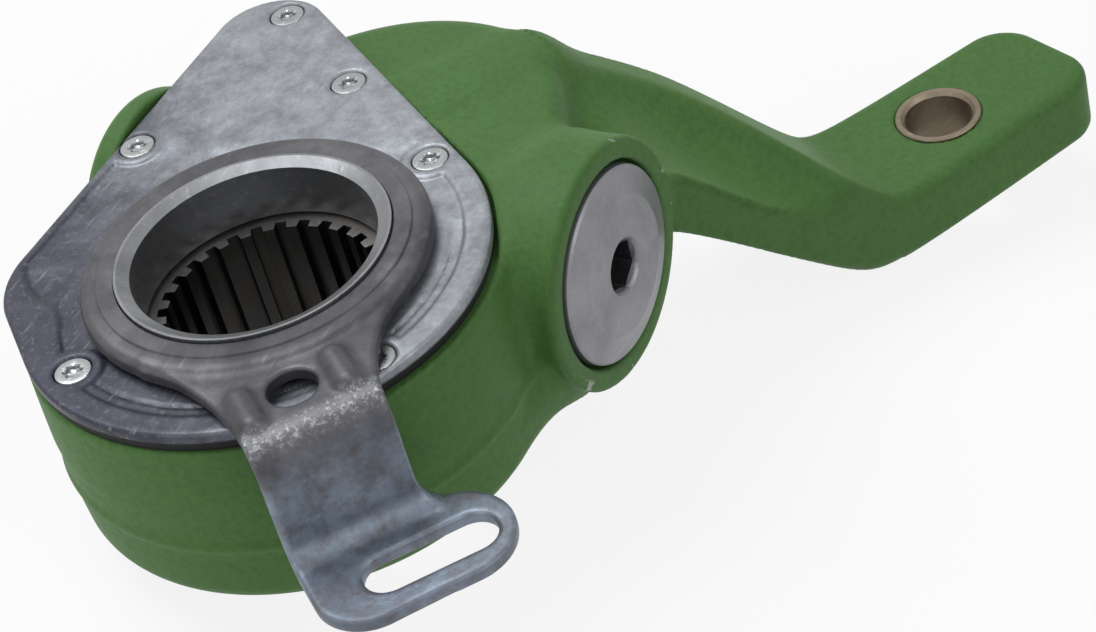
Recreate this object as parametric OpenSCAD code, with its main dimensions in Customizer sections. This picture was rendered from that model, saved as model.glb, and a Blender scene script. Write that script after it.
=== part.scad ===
// Automatic slack adjuster for the camshaft of a drum brake: a cranked lever on a splined worm
// wheel, with the worm, clutch, rack and control arm that take up the wear of the linings.
// Millimetres. The bore axis is Z, the cover's outer face is z = 0, and the worm lies along Y.

/* [Splined bore] */
// Number of teeth in the splined bore
spline_teeth = 28; // [26:1:30]
// Radius over the tips of the splines
spline_tip_r = 19.4; // [19.2:0.1:19.6]
// Radius at the roots of the splines
spline_root_r = 21.2; // [21:0.1:21.4]
// Depth of the wheel's end face below the cover's outer face
wheel_depth = 7.2; // [7:0.1:7.4]

/* [Worm pair] */
// Module of the worm and the worm wheel
worm_module = 2; // [1.96:0.02:2.04]
// Teeth on the worm wheel
wheel_teeth = 26; // [26:1:26]
// Pitch radius of the worm
worm_pitch_r = 9; // [8.8:0.1:9.2]
// Length of the worm's thread
worm_len = 26; // [24:0.5:26]
// Width of the wheel's toothed rim
wheel_face = 18; // [16:0.5:18]
// Radius of the wheel's two journals
journal_r = 24; // [23.8:0.1:24.1]
// Depth of the worm's axis below the cover's outer face
worm_depth = 20.5; // [20.4:0.1:20.8]
// Side clearance between a worm flank and a wheel flank
flank_gap = 0.6; // [0.55:0.05:0.7]

/* [Worm shaft] */
// Radius of the shaft that carries the clutch ring and the gear wheel
shaft_r = 7; // [6.94:0.02:7.1]
// Width across the flats of the adjusting hexagon
hex_af = 12; // [11:0.1:12]
// Radius of the recess round the hexagon
hex_recess_r = 12.5; // [12.2:0.1:13]
// Radius of the bore that holds the worm and the clutch
worm_bore_r = 13; // [12.9:0.05:13.1]

/* [Rack and gear wheel] */
// Module of the rack and the gear wheel
rack_module = 1.5; // [1.5:0.01:1.52]
// Teeth on the gear wheel
gear_teeth = 14; // [14:1:14]
// Width of the gear wheel's teeth
gear_face = 6; // [5.6:0.1:6.2]
// Distance of the rack's middle from the bore axis
rack_y = 36.2; // [36.1:0.05:36.3]
// Radius of the rack's tongue
tongue_r = 3; // [2.8:0.05:3]
// Distance of the tongue from the bore axis
tongue_y = 31; // [30.9:0.05:31.1]

/* [Cover] */
// Radius of the cover's round part
cover_r = 43.6; // [43.5:0.1:45]
// Centre of that round part
cover_mid = [-0.4, 1.2]; // [-1:0.1:2]
// Centre of the round corner beside the rack
corner = [-8, 28]; // [-12:0.5:40]
// Radius of that corner
corner_r = 20; // [19.5:0.1:21]
// Centre of the rounded apex over the gear wheel
apex = [63.7, 36.5]; // [30:0.1:70]
// Radius of the apex
apex_r = 11.5; // [11.4:0.1:12.5]
// Thickness of the cover
cover_t = 2.5; // [2.3:0.1:2.6]
// Thickness of the gasket below it
gasket_t = 1.5; // [1.4:0.05:1.6]
// Width of the raised rim round the sunken panel
rim_w = 5; // [4.5:0.1:5.5]
// Depth of the sunken panel
panel_t = 0.6; // [0.3:0.1:0.8]

/* [Cover screws] */
// Radius of the screw's shank
screw_r = 2; // [1.8:0.05:2]
// Radius of the screw's head
screw_head_r = 3.4; // [3.2:0.05:3.5]
// Length of the screw below its head
screw_len = 5.2; // [4.6:0.1:5.2]
// Radius of the circle of three screws about the bore axis
screw_circle_r = 38.1; // [37.9:0.05:38.4]
// Azimuths of those three screws
screw_az = [149, -116.5, -26.2]; // [-180:0.5:180]

/* [Control arm] */
// Azimuth of the arm at rest
arm_az = -129.3; // [-132:0.1:-126]
// Thickness of the arm's sheet
arm_t = 2.8; // [2.6:0.1:3]
// Height of the arm's ring, which is pressed up round the hub
arm_ring_t = 3.9; // [3.8:0.1:4.2]
// Outer radius of the arm's ring
arm_ring_r = 32.4; // [31.8:0.1:33]
// Distance of the drop's outer face from the bore axis
drop_n = 52; // [51.8:0.1:53]
// Depth of the tab's upper face below the cover's outer face
tab_depth = 21.5; // [20:0.1:23]
// Distance of the tab's outer edge from the bore axis
tab_n = 73.3; // [73:0.1:76]
// Left and right edges of the drop, across the arm
drop_side = [-19, 5.8]; // [-20:0.1:6]
// Right end of the tab, across the arm
tab_side = 18; // [17.5:0.1:19]
// Length of the anchor slot
slot_len = 24.5; // [23:0.1:25]
// Width of the anchor slot
slot_w = 8.8; // [8.4:0.1:9]
// Radius of the hole in the arm's neck
neck_hole_r = 4.5; // [4:0.1:4.8]

/* [Control hub] */
// Radius of the hub's plain bore
hub_bore_r = 22.8; // [22.6:0.1:22.9]
// Outer radius of the hub's tube
hub_r = 25.5; // [25.4:0.05:25.6]
// Height of the hub's rim above the cover's outer face
hub_top = 5; // [4.9:0.1:5.4]
// Outer radius of the notched disc on the hub
disc_r = 33; // [32.8:0.1:33.2]
// Thickness of the notched disc
disc_t = 3.2; // [3:0.1:3.3]

/* [Housing] */
// Outer radius of the barrel
barrel_r = 44.4; // [44:0.1:45]
// Depth of the barrel's lower face below the cover's outer face
barrel_depth = 40.6; // [40.4:0.1:42]
// Radius of the barrel's lower edge
barrel_edge_r = 4.5; // [3:0.5:7]
// Distance from the bore axis to the mouth of the capped boss
cap_boss_y = 50.2; // [49.8:0.1:50.4]
// Outer radius of the capped boss
cap_boss_r = 23.6; // [23.2:0.1:24.5]
// Distance from the bore axis to the end of the hexagon's boss
hex_boss_y = 55.2; // [55:0.1:56]
// Outer radius of the hexagon's boss
hex_boss_r = 21.6; // [21:0.1:22]
// Centre of the shoulder that carries the lever
shoulder = [44.4, 0]; // [-4:0.1:48]
// Radius of the shoulder
shoulder_r = 38.8; // [38:0.1:39.2]

/* [Lever] */
// Distance from the bore axis to the clevis bush
lever_len = 150; // [145:0.5:155]
// Azimuth of the lever
lever_az = -27.6; // [-30:0.1:-25]
// Width of the lever
lever_w = 34; // [32:0.5:36]
// Extra width of the lever's far side where it leaves the shoulder
root_flare = 9; // [6:0.5:11]
// Depth of the paddle's upper face below the cover's outer face
paddle_depth = 58.7; // [55:0.1:62]
// Thickness of the paddle
paddle_t = 15; // [14:0.1:17]
// Length of the paddle beyond the bush
paddle_end = 32.4; // [30:0.1:33]
// Radius of the paddle's corners
paddle_corner_r = 9; // [6:0.5:12]

/* [Clevis bush] */
// Radius of the clevis pin's hole
bush_bore_r = 7; // [6.5:0.1:7.2]
// Outer radius of the bush
bush_r = 9; // [8.8:0.1:9.5]
// Height of the bush above each face of the paddle
bush_proud = 0.3; // [0.2:0.05:0.5]

/* [Screw cap] */
// Radius of the cap's head
cap_head_r = 18.6; // [18.5:0.05:18.8]
// Radius of the cap's threaded part
cap_thread_r = 18; // [17.8:0.05:18]
// Width across the flats of the cap's hexagon socket
socket_af = 9.2; // [8:0.1:10]
// Depth of the socket
socket_depth = 4.5; // [4:0.1:4.8]

/* [Clearances] */
// Gap on the radius of a running fit
fit_gap = 0.05; // [0.03:0.01:0.08]
// Gap between pieces that pass each other
pass_gap = 0.4; // [0.35:0.05:0.45]

/* [Hidden] */
$fn = 64;

// Colours, as the photograph shows them
paint = [0.31, 0.46, 0.25];
zinc = [0.62, 0.64, 0.66];
steel = [0.42, 0.42, 0.44];
bronze = [0.52, 0.45, 0.38];
rubber = [0.08, 0.08, 0.08];

// Worm pair
wheel_pitch_r = worm_module * wheel_teeth / 2;
wheel_tip_r = wheel_pitch_r + worm_module;
wheel_root_r = wheel_pitch_r - 1.2 * worm_module;
worm_pitch = PI * worm_module;
worm_tip_r = worm_pitch_r + worm_module;
worm_root_r = worm_pitch_r - 1.2 * worm_module;
worm_x = wheel_pitch_r + worm_pitch_r;
worm_z = -worm_depth;
rim_top = worm_z + wheel_face / 2;
wheel_cavity_r = wheel_tip_r + pass_gap;
wheel_end_z = -(barrel_depth - 0.4);
pressure_angle = 20;

// Stack under the cover
seat_z = -(cover_t + gasket_t);
disc_top = -(cover_t + 0.5);
disc_low = disc_top - disc_t;
hub_low = disc_low - 0.3;
recess_r = disc_r + 0.6;
recess_z = disc_low - 0.6;

// Gear wheel and rack, the rack's pitch line touching the gear wheel's pitch circle
gear_pitch_r = rack_module * gear_teeth / 2;
rack_pitch_z = worm_z + gear_pitch_r;
rack_w = gear_face - 1;
rack_span = [-7, 56];
rack_root_z = rack_pitch_z + 1.25 * rack_module;
rack_tip_z = rack_pitch_z - rack_module;
rack_travel = [-14.2, 5.8];
gear_y = rack_y - gear_face / 2;
gear_hub_r = shaft_r + 3;
notch_half = tongue_r + 0.8;

// Stations along the worm's axis, from the cap to the hexagon
cap_face_y = -(cap_boss_y + 0.4);
cap_neck_y = cap_face_y + 2.2;
cap_thread_y = cap_face_y + 3.3;
cap_end_y = cap_face_y + 10.2;
spring_floor_y = cap_face_y + 6.4;
collar_y = worm_len / 2 + 2.5;
tail_y = worm_len / 2 + 6;
race_t = 1.6;
ball_r = 1.7;
ball_circle_r = 9.6;
worm_race_y = -tail_y - race_t - 0.1;
ball_y = worm_race_y - 0.3 - ball_r;
spring_race_y = ball_y - ball_r - race_t;
seat_y = spring_race_y - 2.4;
clutch_y = collar_y + 0.5;
clutch_end_y = gear_y - 3.5;
chamber_y = gear_y + gear_face + 1.8;
pocket_y = chamber_y + 4;
hex_y = pocket_y + 6.5;
hex_end_y = hex_boss_y + 2.8;
spring_r = gear_hub_r + 1.45;
pocket_r = shaft_r + 3.2;

// Control arm
arm_z = [0.4, 0.4 + arm_t];
upper_bend_r = 3;
lower_bend_r = 4;
slot_n = 63.3;
slot_mid = 2.3;

// Shoulder and lever, the lever as a profile along its length
shoulder_top = seat_z - 0.5;
tunnel_r = worm_depth + seat_z - 0.1;
lever_top = seat_z - 1;
beam_top_a = 75.5;
beam_low = [72, -29];
paddle_low = paddle_depth + paddle_t;

// Unit vector at an azimuth
function unit(az) = [cos(az), sin(az)];

// Azimuth of the outward normal of the line from circle c1 to circle c2, going round to the left
function side_az(c1, c2) =
    let (d = c2[0] - c1[0]) atan2(d[1], d[0]) - acos((c1[1] - c2[1]) / norm(d));

// Corner b of an outline, rounded by b[2] in n steps, or left sharp where b[2] is 0
function rounded(a, b, c, n = 8) =
    let (p = [b[0], b[1]], r = b[2])
    r == 0 ? [p] :
    let (u = ([a[0], a[1]] - p) / norm([a[0], a[1]] - p),
         v = ([c[0], c[1]] - p) / norm([c[0], c[1]] - p),
         half = acos(u * v) / 2,
         mid = p + (u + v) / norm(u + v) * r / sin(half),
         start = p + u * r / tan(half),
         stop = p + v * r / tan(half),
         a0 = atan2(start[1] - mid[1], start[0] - mid[0]),
         a1 = atan2(stop[1] - mid[1], stop[0] - mid[0]),
         turn = (a1 - a0 + 540) % 360 - 180)
    [for (i = [0 : n]) mid + r * unit(a0 + turn * i / n)];

// Outline through corners [x, y, radius]
function outline(c) =
    [for (i = [0 : len(c) - 1])
        each rounded(c[(i + len(c) - 1) % len(c)], c[i], c[(i + 1) % len(c)])];

// Involute function of a pressure angle, in degrees
function inv(a) = tan(a) * 180 / PI - a;

// Half angle of an involute tooth at radius r, from its half angle at the pitch radius
function tooth_half(r, pitch_r, half) =
    half + inv(pressure_angle) - inv(acos(min(1, pitch_r * cos(pressure_angle) / r)));

// Gear outline with n teeth, one gap centred on +X, thinned by gap on each flank
module gear_shape(n, m, root_r, tip_r, gap) {
    pitch_r = m * n / 2;
    base_r = pitch_r * cos(pressure_angle) + 0.01;
    half = 90 / n - gap / pitch_r * 180 / PI;
    radii = [for (k = [0 : 3]) max(root_r, base_r) + (tip_r - max(root_r, base_r)) * k / 3];
    foot = tooth_half(radii[0], pitch_r, half);
    polygon([for (i = [0 : n - 1])
        let (mid = (i + 0.5) * 360 / n)
        each concat([root_r * unit(mid - foot)],
                    [for (k = [0 : 3]) radii[k] * unit(mid - tooth_half(radii[k], pitch_r, half))],
                    [for (k = [3 : -1 : 0]) radii[k] * unit(mid + tooth_half(radii[k], pitch_r, half))],
                    [root_r * unit(mid + foot)])]);
}

// Cross-section of a one-start worm: the axial profile wrapped once round the axis
module worm_section(gap) {
    quarter = worm_pitch / 4 - gap;
    crest = 360 * (quarter - tan(pressure_angle) * worm_module) / worm_pitch;
    root = 360 * (quarter + tan(pressure_angle) * 1.2 * worm_module) / worm_pitch;
    polygon(concat(
        [for (k = [-2 : 1]) worm_tip_r * unit(crest * k / 2)],
        [for (k = [0 : 4])
            (worm_tip_r + (worm_root_r - worm_tip_r) * k / 5) * unit(crest + (root - crest) * k / 5)],
        [for (k = [0 : 4]) worm_root_r * unit(root + (360 - 2 * root) * k / 4)],
        [for (k = [4 : -1 : 1])
            (worm_tip_r + (worm_root_r - worm_tip_r) * k / 5) * unit(-crest - (root - crest) * k / 5)]));
}

// Coil about Z from z = 0 to z = height, the wire's section a polygon with the given sides
module coil(mean_r, wire_r, height, turns, sides, per_turn = 18) {
    steps = round(turns * per_turn);
    rise = height - 2 * wire_r;
    spin = sides == 4 ? 45 : 0;
    points = [for (i = [0 : steps], k = [0 : sides - 1])
        let (az = 360 * turns * i / steps, b = 360 * k / sides + spin, r = mean_r + wire_r * cos(b))
        [r * cos(az), r * sin(az), wire_r + rise * i / steps + wire_r * sin(b)]];
    skin = [for (i = [0 : steps - 1], k = [0 : sides - 1])
        let (k2 = (k + 1) % sides)
        [i * sides + k, (i + 1) * sides + k, (i + 1) * sides + k2, i * sides + k2]];
    first = [for (k = [0 : sides - 1]) k];
    last = [for (k = [sides - 1 : -1 : 0]) steps * sides + k];
    polyhedron(points, concat(skin, [first, last]));
}

// Rubber ring with a round section
module o_ring(mean_r, section_r) {
    color(rubber) rotate_extrude() translate([mean_r, 0]) circle(section_r, $fn = 32);
}

// Puts a child drawn about Z onto the worm's axis, with its z = 0 at station y
module on_worm_axis(y) {
    translate([worm_x, y, worm_z]) rotate([-90, 0, 0]) children();
}

// Tube or disc on the worm's axis between two stations
module worm_ring(y0, y1, r, bore = 0) {
    on_worm_axis(y0) difference() {
        cylinder(r = r, h = y1 - y0);
        if (bore > 0) translate([0, 0, -1]) cylinder(r = bore, h = y1 - y0 + 2);
    }
}

// Ring about the bore axis between two heights
module bore_ring(z0, z1, r, bore = 0) {
    translate([0, 0, z0]) difference() {
        cylinder(r = r, h = z1 - z0, $fn = 128);
        if (bore > 0) translate([0, 0, -1]) cylinder(r = bore, h = z1 - z0 + 2, $fn = 128);
    }
}

// Extrudes a profile drawn in X and Z from y0 to y1
module along_y(y0, y1) {
    translate([0, y1, 0]) rotate([90, 0, 0]) linear_extrude(y1 - y0) children();
}

// The cover's outline: three circles and the straight sides that touch them, all moved in by inset
module cover_outline(inset = 0) {
    circles = [[cover_mid, cover_r - inset], [apex, apex_r - inset], [corner, corner_r - inset]];
    az = [for (i = [0 : 2]) side_az(circles[i], circles[(i + 1) % 3])];
    polygon([for (i = [0 : 2])
        let (sweep = ((az[i] - az[(i + 2) % 3]) % 360 + 360) % 360, n = ceil(sweep / 4))
        for (k = [0 : n]) circles[i][0] + circles[i][1] * unit(az[(i + 2) % 3] + sweep * k / n)]);
}

// Places of the six cover screws: three on a circle, one at the apex, one on each straight side
right_n = unit(side_az([cover_mid, cover_r], [apex, apex_r]));
right_along = [-right_n[1], right_n[0]];
screw_places = concat(
    [for (az = screw_az) screw_circle_r * unit(az)],
    [apex + [6.4, -0.6], cover_mid + right_n * (cover_r - 6.3) + right_along * 38.5,
     [26.4, apex[1] + apex_r - 3.8]]);

// Channel in which the rack slides, as a flat shape
module rack_channel(gap = 0) {
    translate([rack_span[0] + rack_travel[0] - 0.6 - gap, rack_y - rack_w / 2 - pass_gap - gap])
        square([rack_span[1] - rack_span[0] + rack_travel[1] - rack_travel[0] + 1.2 + 2 * gap,
                rack_w + 2 * pass_gap + 2 * gap]);
}

// Space under the cover for the notched disc, the rack and its tongue, as a flat shape
module works_window(gap = 0) {
    circle(recess_r + gap, $fn = 128);
    rack_channel(gap);
    translate([rack_travel[0] - tongue_r - 0.8 - gap, 26])
        square([rack_travel[1] - rack_travel[0] + 2 * tongue_r + 1.6 + 2 * gap, rack_y - 26]);
}

// Lever: a profile along its length, trimmed to the paddle's rounded end
module lever_body() {
    end_a = lever_len + paddle_end;
    profile = outline([
        [44, lever_top, 0], [beam_top_a, lever_top, 8],
        [beam_top_a + 24.5, -paddle_depth * 0.5, 40], [beam_top_a + 50, -paddle_depth, 12],
        [end_a, -paddle_depth, 3], [end_a, -paddle_low, 3], [beam_top_a + 41.5, -paddle_low, 24],
        [beam_low[0], beam_low[1], 6], [44, beam_low[1] - 4, 0]]);
    plan = outline([
        [40, -lever_w / 2 + 2, 0], [beam_top_a + 45, -lever_w / 2, 60],
        [end_a, -lever_w / 2 + 2, paddle_corner_r], [end_a, lever_w / 2 - 2.5, paddle_corner_r],
        [beam_top_a + 48, lever_w / 2 - 1.5, 20], [58, lever_w / 2 + root_flare, 0], [40, lever_w / 2, 0]]);
    rotate([0, 0, lever_az]) intersection() {
        along_y(-lever_w / 2, lever_w / 2 + root_flare) polygon(profile);
        translate([0, 0, -paddle_low - 1]) linear_extrude(paddle_low + 2) polygon(plan);
    }
}

// Outside of the casting: barrel, worm tunnel, deck under the cover, shoulder and lever
module housing_solid() {
    rotate_extrude($fn = 128) polygon(outline([
        [0, seat_z, 0], [barrel_r, seat_z, 0],
        [barrel_r - 0.8, -barrel_depth, barrel_edge_r], [0, -barrel_depth, 0]]));
    translate([0, 0, seat_z - 12]) linear_extrude(12) cover_outline(0.8);
    // The tunnel stays below the cover, and its two bosses rise beside it
    on_worm_axis(0) rotate_extrude($fn = 96) polygon(outline([
        [0, -cap_boss_y, 0], [cap_boss_r, -cap_boss_y, 1.2], [cap_boss_r, -cap_boss_y + 7.4, 2],
        [tunnel_r, -cap_boss_y + 13.4, 3], [tunnel_r, apex[1] + apex_r + 0.6, 0],
        [hex_boss_r, apex[1] + apex_r + 0.6, 0], [hex_boss_r, hex_boss_y, 4], [0, hex_boss_y, 0]]));
    translate([shoulder[0], shoulder[1], 0]) rotate_extrude($fn = 128) polygon(outline([
        [0, shoulder_top, 0], [shoulder_r, shoulder_top, 6], [shoulder_r, -36, 9], [0, -36, 0]]));
    lever_body();
}

// Cast iron housing with the lever: bores for the wheel and the worm, seat for the cover
module housing() {
    color(paint) difference() {
        housing_solid();
        // Room for the notched disc, the rack and its teeth
        translate([0, 0, recess_z]) linear_extrude(10) works_window();
        translate([0, 0, rack_root_z - pass_gap]) linear_extrude(10) rack_channel();
        translate([0, 0, rack_tip_z - pass_gap]) linear_extrude(10) intersection() {
            rack_channel();
            square(200);
        }
        // Worm wheel, its lower journal and the seal's groove
        bore_ring(rim_top - wheel_face - 0.5, 0, wheel_cavity_r);
        bore_ring(-barrel_depth - 1, -20, journal_r + 2 * fit_gap);
        bore_ring(wheel_end_z + 1.5, wheel_end_z + 3.7, journal_r + 2.5);
        // Worm bore, screw cap, shaft journal, its seal and the recess for the hexagon
        worm_ring(cap_end_y - 1, chamber_y, worm_bore_r);
        worm_ring(cap_thread_y - 0.2, cap_end_y + 0.5, cap_thread_r + fit_gap);
        worm_ring(cap_face_y - 2, cap_thread_y - 0.1, cap_head_r + 0.7);
        worm_ring(chamber_y - 1, pocket_y, pocket_r);
        worm_ring(pocket_y - 1, hex_boss_y, shaft_r + fit_gap);
        worm_ring(pocket_y + 1, pocket_y + 4, shaft_r + 3);
        worm_ring(hex_y, hex_boss_y + 2, hex_recess_r);
        // Cover screws and clevis bush
        for (p = screw_places)
            translate([p[0], p[1], seat_z - screw_len]) cylinder(r = screw_r + fit_gap, h = screw_len + 1);
        rotate([0, 0, lever_az]) translate([lever_len, 0, -paddle_low - 1])
            cylinder(r = bush_r, h = paddle_t + 2);
    }
}

// Bronze bush for the clevis pin, pressed into the paddle
module clevis_bush() {
    color(bronze) rotate([0, 0, lever_az]) translate([lever_len, 0, -paddle_low - bush_proud])
        difference() {
            cylinder(r = bush_r, h = paddle_t + 2 * bush_proud);
            translate([0, 0, -1]) cylinder(r = bush_bore_r, h = paddle_t + 2 * bush_proud + 2);
        }
}

// Worm wheel: helical rim between two journals, splined for the camshaft
module worm_wheel() {
    twist = wheel_face / (worm_pitch_r * wheel_pitch_r) * worm_module / 2 * 180 / PI;
    tooth_az = 360 / spline_teeth;
    color(steel) difference() {
        union() {
            bore_ring(wheel_end_z, -wheel_depth, wheel_root_r - 0.2);
            bore_ring(wheel_end_z, rim_top - wheel_face + 0.01, journal_r);
            bore_ring(rim_top - 0.01, -wheel_depth, journal_r);
            translate([0, 0, rim_top - wheel_face]) rotate([0, 0, -twist / 2])
                linear_extrude(wheel_face, twist = -twist, slices = 4)
                    gear_shape(wheel_teeth, worm_module, wheel_root_r, wheel_tip_r, flank_gap * 0.4);
        }
        bore_ring(wheel_end_z - 1, 0, spline_tip_r);
        translate([0, 0, wheel_end_z - 1]) linear_extrude(barrel_depth) for (i = [0 : spline_teeth - 1])
            polygon([(spline_tip_r - 0.6) * unit((i - 0.30) * tooth_az), spline_root_r * unit((i - 0.22) * tooth_az),
                     spline_root_r * unit((i + 0.22) * tooth_az), (spline_tip_r - 0.6) * unit((i + 0.30) * tooth_az)]);
    }
}

// Ring pressed in above the wheel: upper bearing of the wheel and stop for its rim
module wheel_guide_ring() {
    color(steel) bore_ring(rim_top + 0.5, recess_z - 1.2, wheel_cavity_r - 0.02, journal_r + 2 * fit_gap);
}

// Rubber ring round the wheel's lower journal
module wheel_seal() {
    translate([0, 0, wheel_end_z + 2.6]) o_ring(journal_r + 1.45, 1);
}

// Worm shaft: thread, two collars, journal and adjusting hexagon
module worm_shaft() {
    turns = worm_len / worm_pitch;
    color(steel) {
        on_worm_axis(-worm_len / 2) rotate([0, 0, 180 - 180 * turns])
            linear_extrude(worm_len, twist = -360 * turns, slices = round(12 * turns))
                worm_section(flank_gap * 0.6);
        worm_ring(-tail_y, -worm_len / 2 + 0.01, worm_tip_r - 2);
        worm_ring(worm_len / 2 - 0.01, collar_y, worm_tip_r - 2);
        worm_ring(seat_y + 0.5, -tail_y + 0.5, shaft_r - 2);
        worm_ring(collar_y - 0.5, hex_y - 0.5, shaft_r);
        on_worm_axis(hex_y - 1) cylinder(r = hex_af / sqrt(3), h = hex_end_y - hex_y + 1, $fn = 6);
    }
}

// Clutch ring: cone towards the worm and hub inside the one-way spring
module clutch_ring() {
    color(steel) {
        on_worm_axis(clutch_y) difference() {
            cylinder(r1 = worm_bore_r - 2.4, r2 = worm_bore_r - 0.6, h = 3.5);
            translate([0, 0, -1]) cylinder(r = shaft_r, h = 6);
        }
        worm_ring(clutch_y + 3.4, clutch_end_y, gear_hub_r + 0.3, shaft_r);
    }
}

// One-way spring: square wire wound over the hubs of the clutch ring and the gear wheel
module one_way_spring() {
    color(steel) on_worm_axis(clutch_y + 3.8)
        coil(spring_r, 1.18, gear_y - clutch_y - 4.4, 5, 4);
}

// Gear wheel: toothed rim driven by the rack, and a hub inside the one-way spring
module gear_wheel() {
    color(steel) difference() {
        union() {
            on_worm_axis(gear_y) linear_extrude(gear_face) rotate([0, 0, -90])
                gear_shape(gear_teeth, rack_module, gear_pitch_r - 1.25 * rack_module,
                           gear_pitch_r + rack_module, 0.15);
            worm_ring(clutch_end_y + pass_gap, gear_y + 0.3, gear_hub_r);
            worm_ring(gear_y + gear_face - 0.3, gear_y + gear_face + 0.8, gear_hub_r);
        }
        worm_ring(clutch_end_y - 1, pocket_y, shaft_r + fit_gap);
    }
}

// Light spring between the gear wheel and the end of its chamber
module light_spring() {
    color(steel) on_worm_axis(gear_y + gear_face + 1.2)
        coil(shaft_r + 1.8, 0.7, pocket_y - gear_y - gear_face - 1.25, 2.5, 6, 16);
}

// Seal ring round the shaft, in the wall of the hexagon's boss
module worm_end_seal() {
    color(rubber) worm_ring(pocket_y + 1.05, pocket_y + 3.95, shaft_r + 2.95, shaft_r + 0.35);
}

// Thrust bearing race on the worm's end
module worm_side_race() {
    color(steel) worm_ring(worm_race_y, worm_race_y + race_t, worm_bore_r - 0.8, shaft_r - 1.95);
}

// Ring of balls of the thrust bearing
module bearing_balls() {
    color(zinc) for (i = [0 : 11])
        on_worm_axis(ball_y) rotate([0, 0, 30 * i]) translate([ball_circle_r, 0, 0]) sphere(ball_r, $fn = 32);
}

// Thrust bearing race on the spring seat
module spring_side_race() {
    color(steel) worm_ring(spring_race_y, spring_race_y + race_t, worm_bore_r - 0.8, shaft_r - 1);
}

// Seat between the main spring and the thrust bearing, with a spigot inside the spring
module spring_seat() {
    color(steel) {
        worm_ring(seat_y, spring_race_y - 0.02, worm_bore_r - 0.5, shaft_r - 1);
        worm_ring(seat_y - 3, seat_y + 0.1, shaft_r + 0.6, shaft_r - 1);
    }
}

// Main spring: presses the worm against the clutch ring
module main_spring() {
    color(steel) on_worm_axis(spring_floor_y + 0.02)
        coil(shaft_r + 2.7, 1.5, seat_y - spring_floor_y - 0.04, 3.75, 8);
}

// Screw cap: hexagon socket in its face, and a cup for the main spring behind
module screw_cap() {
    color(zinc) difference() {
        on_worm_axis(0) rotate_extrude($fn = 96) polygon(outline([
            [0, cap_face_y, 0], [cap_head_r, cap_face_y, 0.7], [cap_head_r, cap_neck_y, 0],
            [cap_thread_r - 0.7, cap_neck_y, 0], [cap_thread_r - 0.7, cap_thread_y, 0],
            [cap_thread_r, cap_thread_y, 0], [cap_thread_r, cap_end_y, 0], [0, cap_end_y, 0]]));
        worm_ring(spring_floor_y, cap_end_y + 1, shaft_r + 5);
        on_worm_axis(cap_face_y - 1) cylinder(r = socket_af / sqrt(3), h = socket_depth + 1, $fn = 6);
        on_worm_axis(cap_face_y - 0.3) cylinder(r1 = 14, r2 = 13.2, h = 0.8);
        worm_ring(cap_face_y - 0.2, cap_face_y + 0.3, 13.6);
    }
}

// Rubber ring behind the cap's head
module cap_o_ring() {
    on_worm_axis(cap_neck_y + 0.5) o_ring(cap_head_r - 0.4, 0.46);
}

// Rack: teeth down on the gear wheel, tongue in the notch of the control hub's disc
module rack() {
    pitch = PI * rack_module;
    slope = tan(pressure_angle);
    half = pitch / 4 - 0.15;
    color(steel) {
        translate([rack_span[0], rack_y - rack_w / 2, rack_root_z])
            cube([rack_span[1] - rack_span[0], rack_w, disc_top - rack_root_z]);
        along_y(rack_y - rack_w / 2, rack_y + rack_w / 2) for (i = [-3 : 4])
            translate([worm_x + i * pitch, 0]) polygon([
                [-half - slope * 1.25 * rack_module, rack_root_z + 0.01], [-half + slope * rack_module, rack_tip_z],
                [half - slope * rack_module, rack_tip_z], [half + slope * 1.25 * rack_module, rack_root_z + 0.01]]);
        translate([0, tongue_y, disc_low + 0.2]) cylinder(r = tongue_r, h = disc_t - 0.2);
        translate([-tongue_r + 0.5, tongue_y, disc_low + 0.2])
            cube([2 * tongue_r - 1, rack_y - tongue_y, disc_t - 0.2]);
    }
}

// Control hub: tube through the cover, with the notched disc that moves the rack
module control_hub() {
    color(zinc) difference() {
        union() {
            bore_ring(hub_low, hub_top, hub_r);
            bore_ring(disc_low, disc_top, disc_r);
        }
        bore_ring(hub_low - 1, hub_top + 1, hub_bore_r);
        translate([0, 0, hub_top - 1.1]) cylinder(r1 = hub_bore_r, r2 = hub_bore_r + 2.2, h = 1.1 + 0.01, $fn = 128);
        bore_ring(-cover_t / 2 - 0.8, -cover_t / 2 + 0.8, hub_r + 1, hub_r - 1.6);
        translate([-notch_half, tongue_y - tongue_r - 0.6, disc_low - 1])
            cube([2 * notch_half, disc_r, disc_t + 2]);
    }
}

// Rubber ring between the hub and the cover
module hub_seal() {
    translate([0, 0, -cover_t / 2]) o_ring(hub_r - 0.9, 0.68);
}

// Quarter of a bend, as a flat shape: inner radius r, sheet t, in the quarter given by the two signs
module bend(r, t, sx, sy) {
    intersection() {
        difference() {
            circle(r + t);
            circle(r);
        }
        translate([sx > 0 ? 0 : -r - t - 1, sy > 0 ? 0 : -r - t - 1]) square(r + t + 1);
    }
}

// Plan of the arm's neck, in the arm's own frame: it leaves the ring on two hollow curves
module neck_plan() {
    bend_n = drop_n - arm_t - upper_bend_r;
    hollow = [[bend_n, drop_side[0], -1], [drop_n, drop_side[1], 1]];
    curves = [for (h = hollow)
        let (d = h[2] * h[1], r = (h[0] * h[0] + d * d - arm_ring_r * arm_ring_r) / (2 * (arm_ring_r - d)))
        [[h[0], h[2] * (d + r)], r]];
    touch = [for (c = curves) c[0] * arm_ring_r / norm(c[0])];
    difference() {
        polygon([[0, 0], touch[0], [bend_n, touch[0][1]], [bend_n, touch[1][1]], touch[1]]);
        for (c = curves) translate(c[0]) circle(c[1], $fn = 192);
    }
}

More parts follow.
